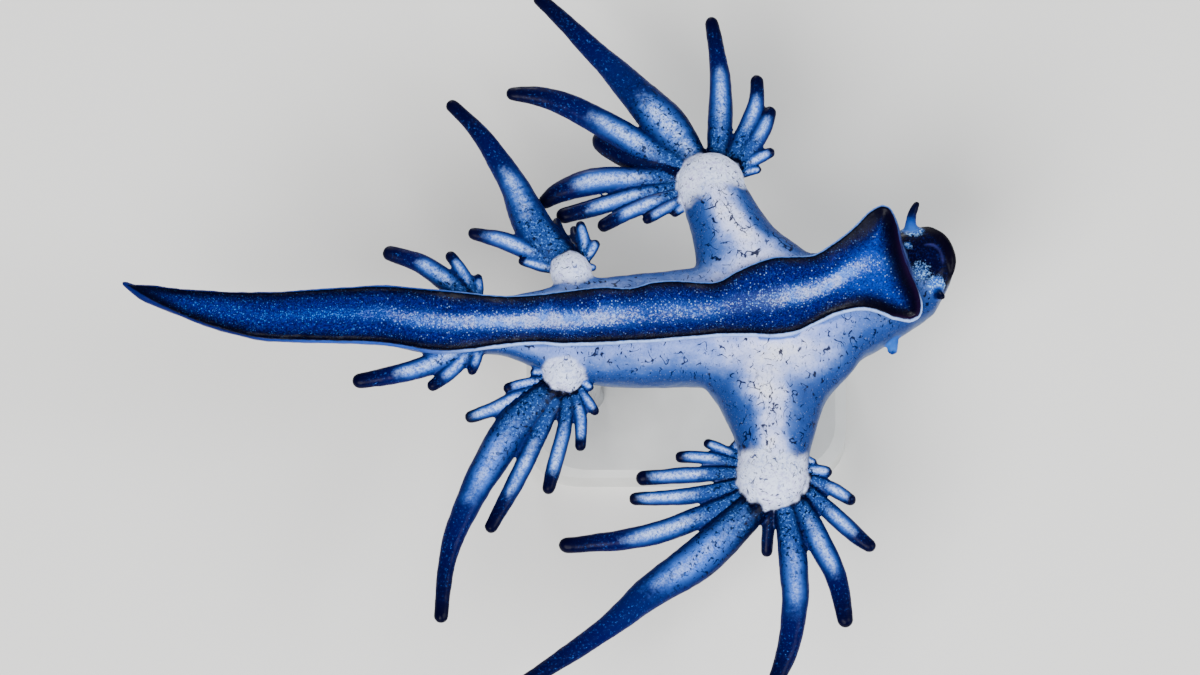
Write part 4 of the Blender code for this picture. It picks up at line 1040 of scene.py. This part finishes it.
def skin_material():
    p = Paint("skin")
    flank = flank_colour(p)
    flank = p.mix(p.value("hub"), flank, hub_colour(p))
    shade = head_colour(p, flank)
    shade = p.mix(p.value("feeler"), shade, feeler_colour(p))
    shade = p.mix(p.value("ceras"), shade, ceras_colour(p))
    shade = p.mix(p.value("foot"), shade, foot_colour(p))
    height = p.add(p.noise(5, 3, 0.6), p.times(p.cells(7)["Distance"], 0.5))
    rough = p.step(p.noise(3), 0.3, 0.7, 0.34, 0.48)
    p.shader.inputs["Specular IOR Level"].default_value = 0.04
    p.shader.inputs["Coat Weight"].default_value = 0.02
    p.shader.inputs["Coat Roughness"].default_value = 0.16
    return p.finish(shade, rough, height, 0.35, 0.00004)


def stand_materials(frame):
    p = Paint("matte_base")
    grain = p.noise(14, 4, 0.6)
    tone = p.mix(p.step(p.noise(0.4, 2), 0.3, 0.7), (206, 206, 203), (216, 216, 213))
    base = p.finish(tone, p.step(grain, 0.3, 0.7, 0.5, 0.62), grain, 0.25, 0.00002)
    node = frame["nodes"]["stand_base"]
    node.data.materials.clear()
    node.data.materials.append(base)
    p = Paint("brushed_rod")
    lines = p.noise(3, 3, 0.6, p.scaled(p.place, (12, 12, 0.4)))
    p.shader.inputs["Metallic"].default_value = 1
    return p.finish(p.mix(lines, (176, 178, 182), (206, 208, 212)),
                    p.step(lines, 0.3, 0.7, 0.26, 0.4), lines, 0.2, 0.00001)


def build_rods(material):
    """Rods that enter the base and the body, each with a small collar on the base."""
    for place in ("front", "rear"):
        low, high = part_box("stand_rod_" + place)
        x, y, radius = (low.x + high.x) / 2, (low.y + high.y) / 2, (high.x - low.x) / 2
        profile = [(radius * share, low.z + height * MM) for share, height in COLLAR]
        profile.append((radius, high.z + ROD_REACH * MM))
        shape = Flesh()
        shape.loft([ring((x, y, z), (r, 0, 0), (0, r, 0), ROD_SIDES) for r, z in profile],
                   (x, y, profile[0][1]), (x, y, profile[-1][1]))
        rod = mesh_object("rod_" + place, shape.vertices, shape.faces)
        rod.data.materials.append(material)
        rod.data.shade_smooth()
        rod.data.set_sharp_from_angle(angle=math.radians(40))
        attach(rod, "root")
        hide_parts("stand_rod_" + place)


def build_floor():
    corners = [(-1, -1), (1, -1), (1, 1), (-1, 1)]
    floor = mesh_object("floor", [(x * FLOOR_HALF, y * FLOOR_HALF, 0) for x, y in corners],
                        [(0, 1, 2, 3)])
    p = Paint("pale_floor")
    floor.data.materials.append(p.finish(
        p.mix(p.noise(0.02, 3.0), (226, 224, 220), (236, 234, 230)), 0.8))


def build_studio():
    """Floor, soft area lights that face the animal, even surroundings and the camera."""
    build_floor()
    world = bpy.data.worlds.new("studio")
    bpy.context.scene.world = world
    world.use_nodes = True
    background = world.node_tree.nodes["Background"].inputs
    background["Color"].default_value = WORLD_TINT
    background["Strength"].default_value = WORLD_STRENGTH
    for name, place, size, power, tint in LIGHTS:
        data = bpy.data.lights.new(name, "AREA")
        data.shape, data.size, data.energy, data.color = "DISK", size * MM, power, tint
        light = new_object(name, data)
        light.location = Vector(place) * MM
        aim = Vector((0, 0, FOOT_HEIGHT * MM)) - light.location
        light.rotation_mode = "QUATERNION"
        light.rotation_quaternion = aim.to_track_quat("-Z", "Y")
    data = bpy.data.cameras.new("camera")
    data.lens, data.sensor_width = LENS, SENSOR
    data.clip_start, data.clip_end = 0.01, 10.0
    camera = new_object("camera", data)
    tilt = math.radians(CAMERA_TILT)
    camera.location = (Vector(CAMERA_TARGET)
                       + Vector((0, -math.sin(tilt), math.cos(tilt))) * CAMERA_DISTANCE) * MM
    camera.rotation_euler = (tilt, 0, 0)
    bpy.context.scene.camera = camera


def main():
    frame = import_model()
    skin = build_skin()
    skin.data.materials.append(skin_material())
    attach(skin, "root")
    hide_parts(*FLESH_NODES)
    build_rods(stand_materials(frame))
    build_studio()


main()
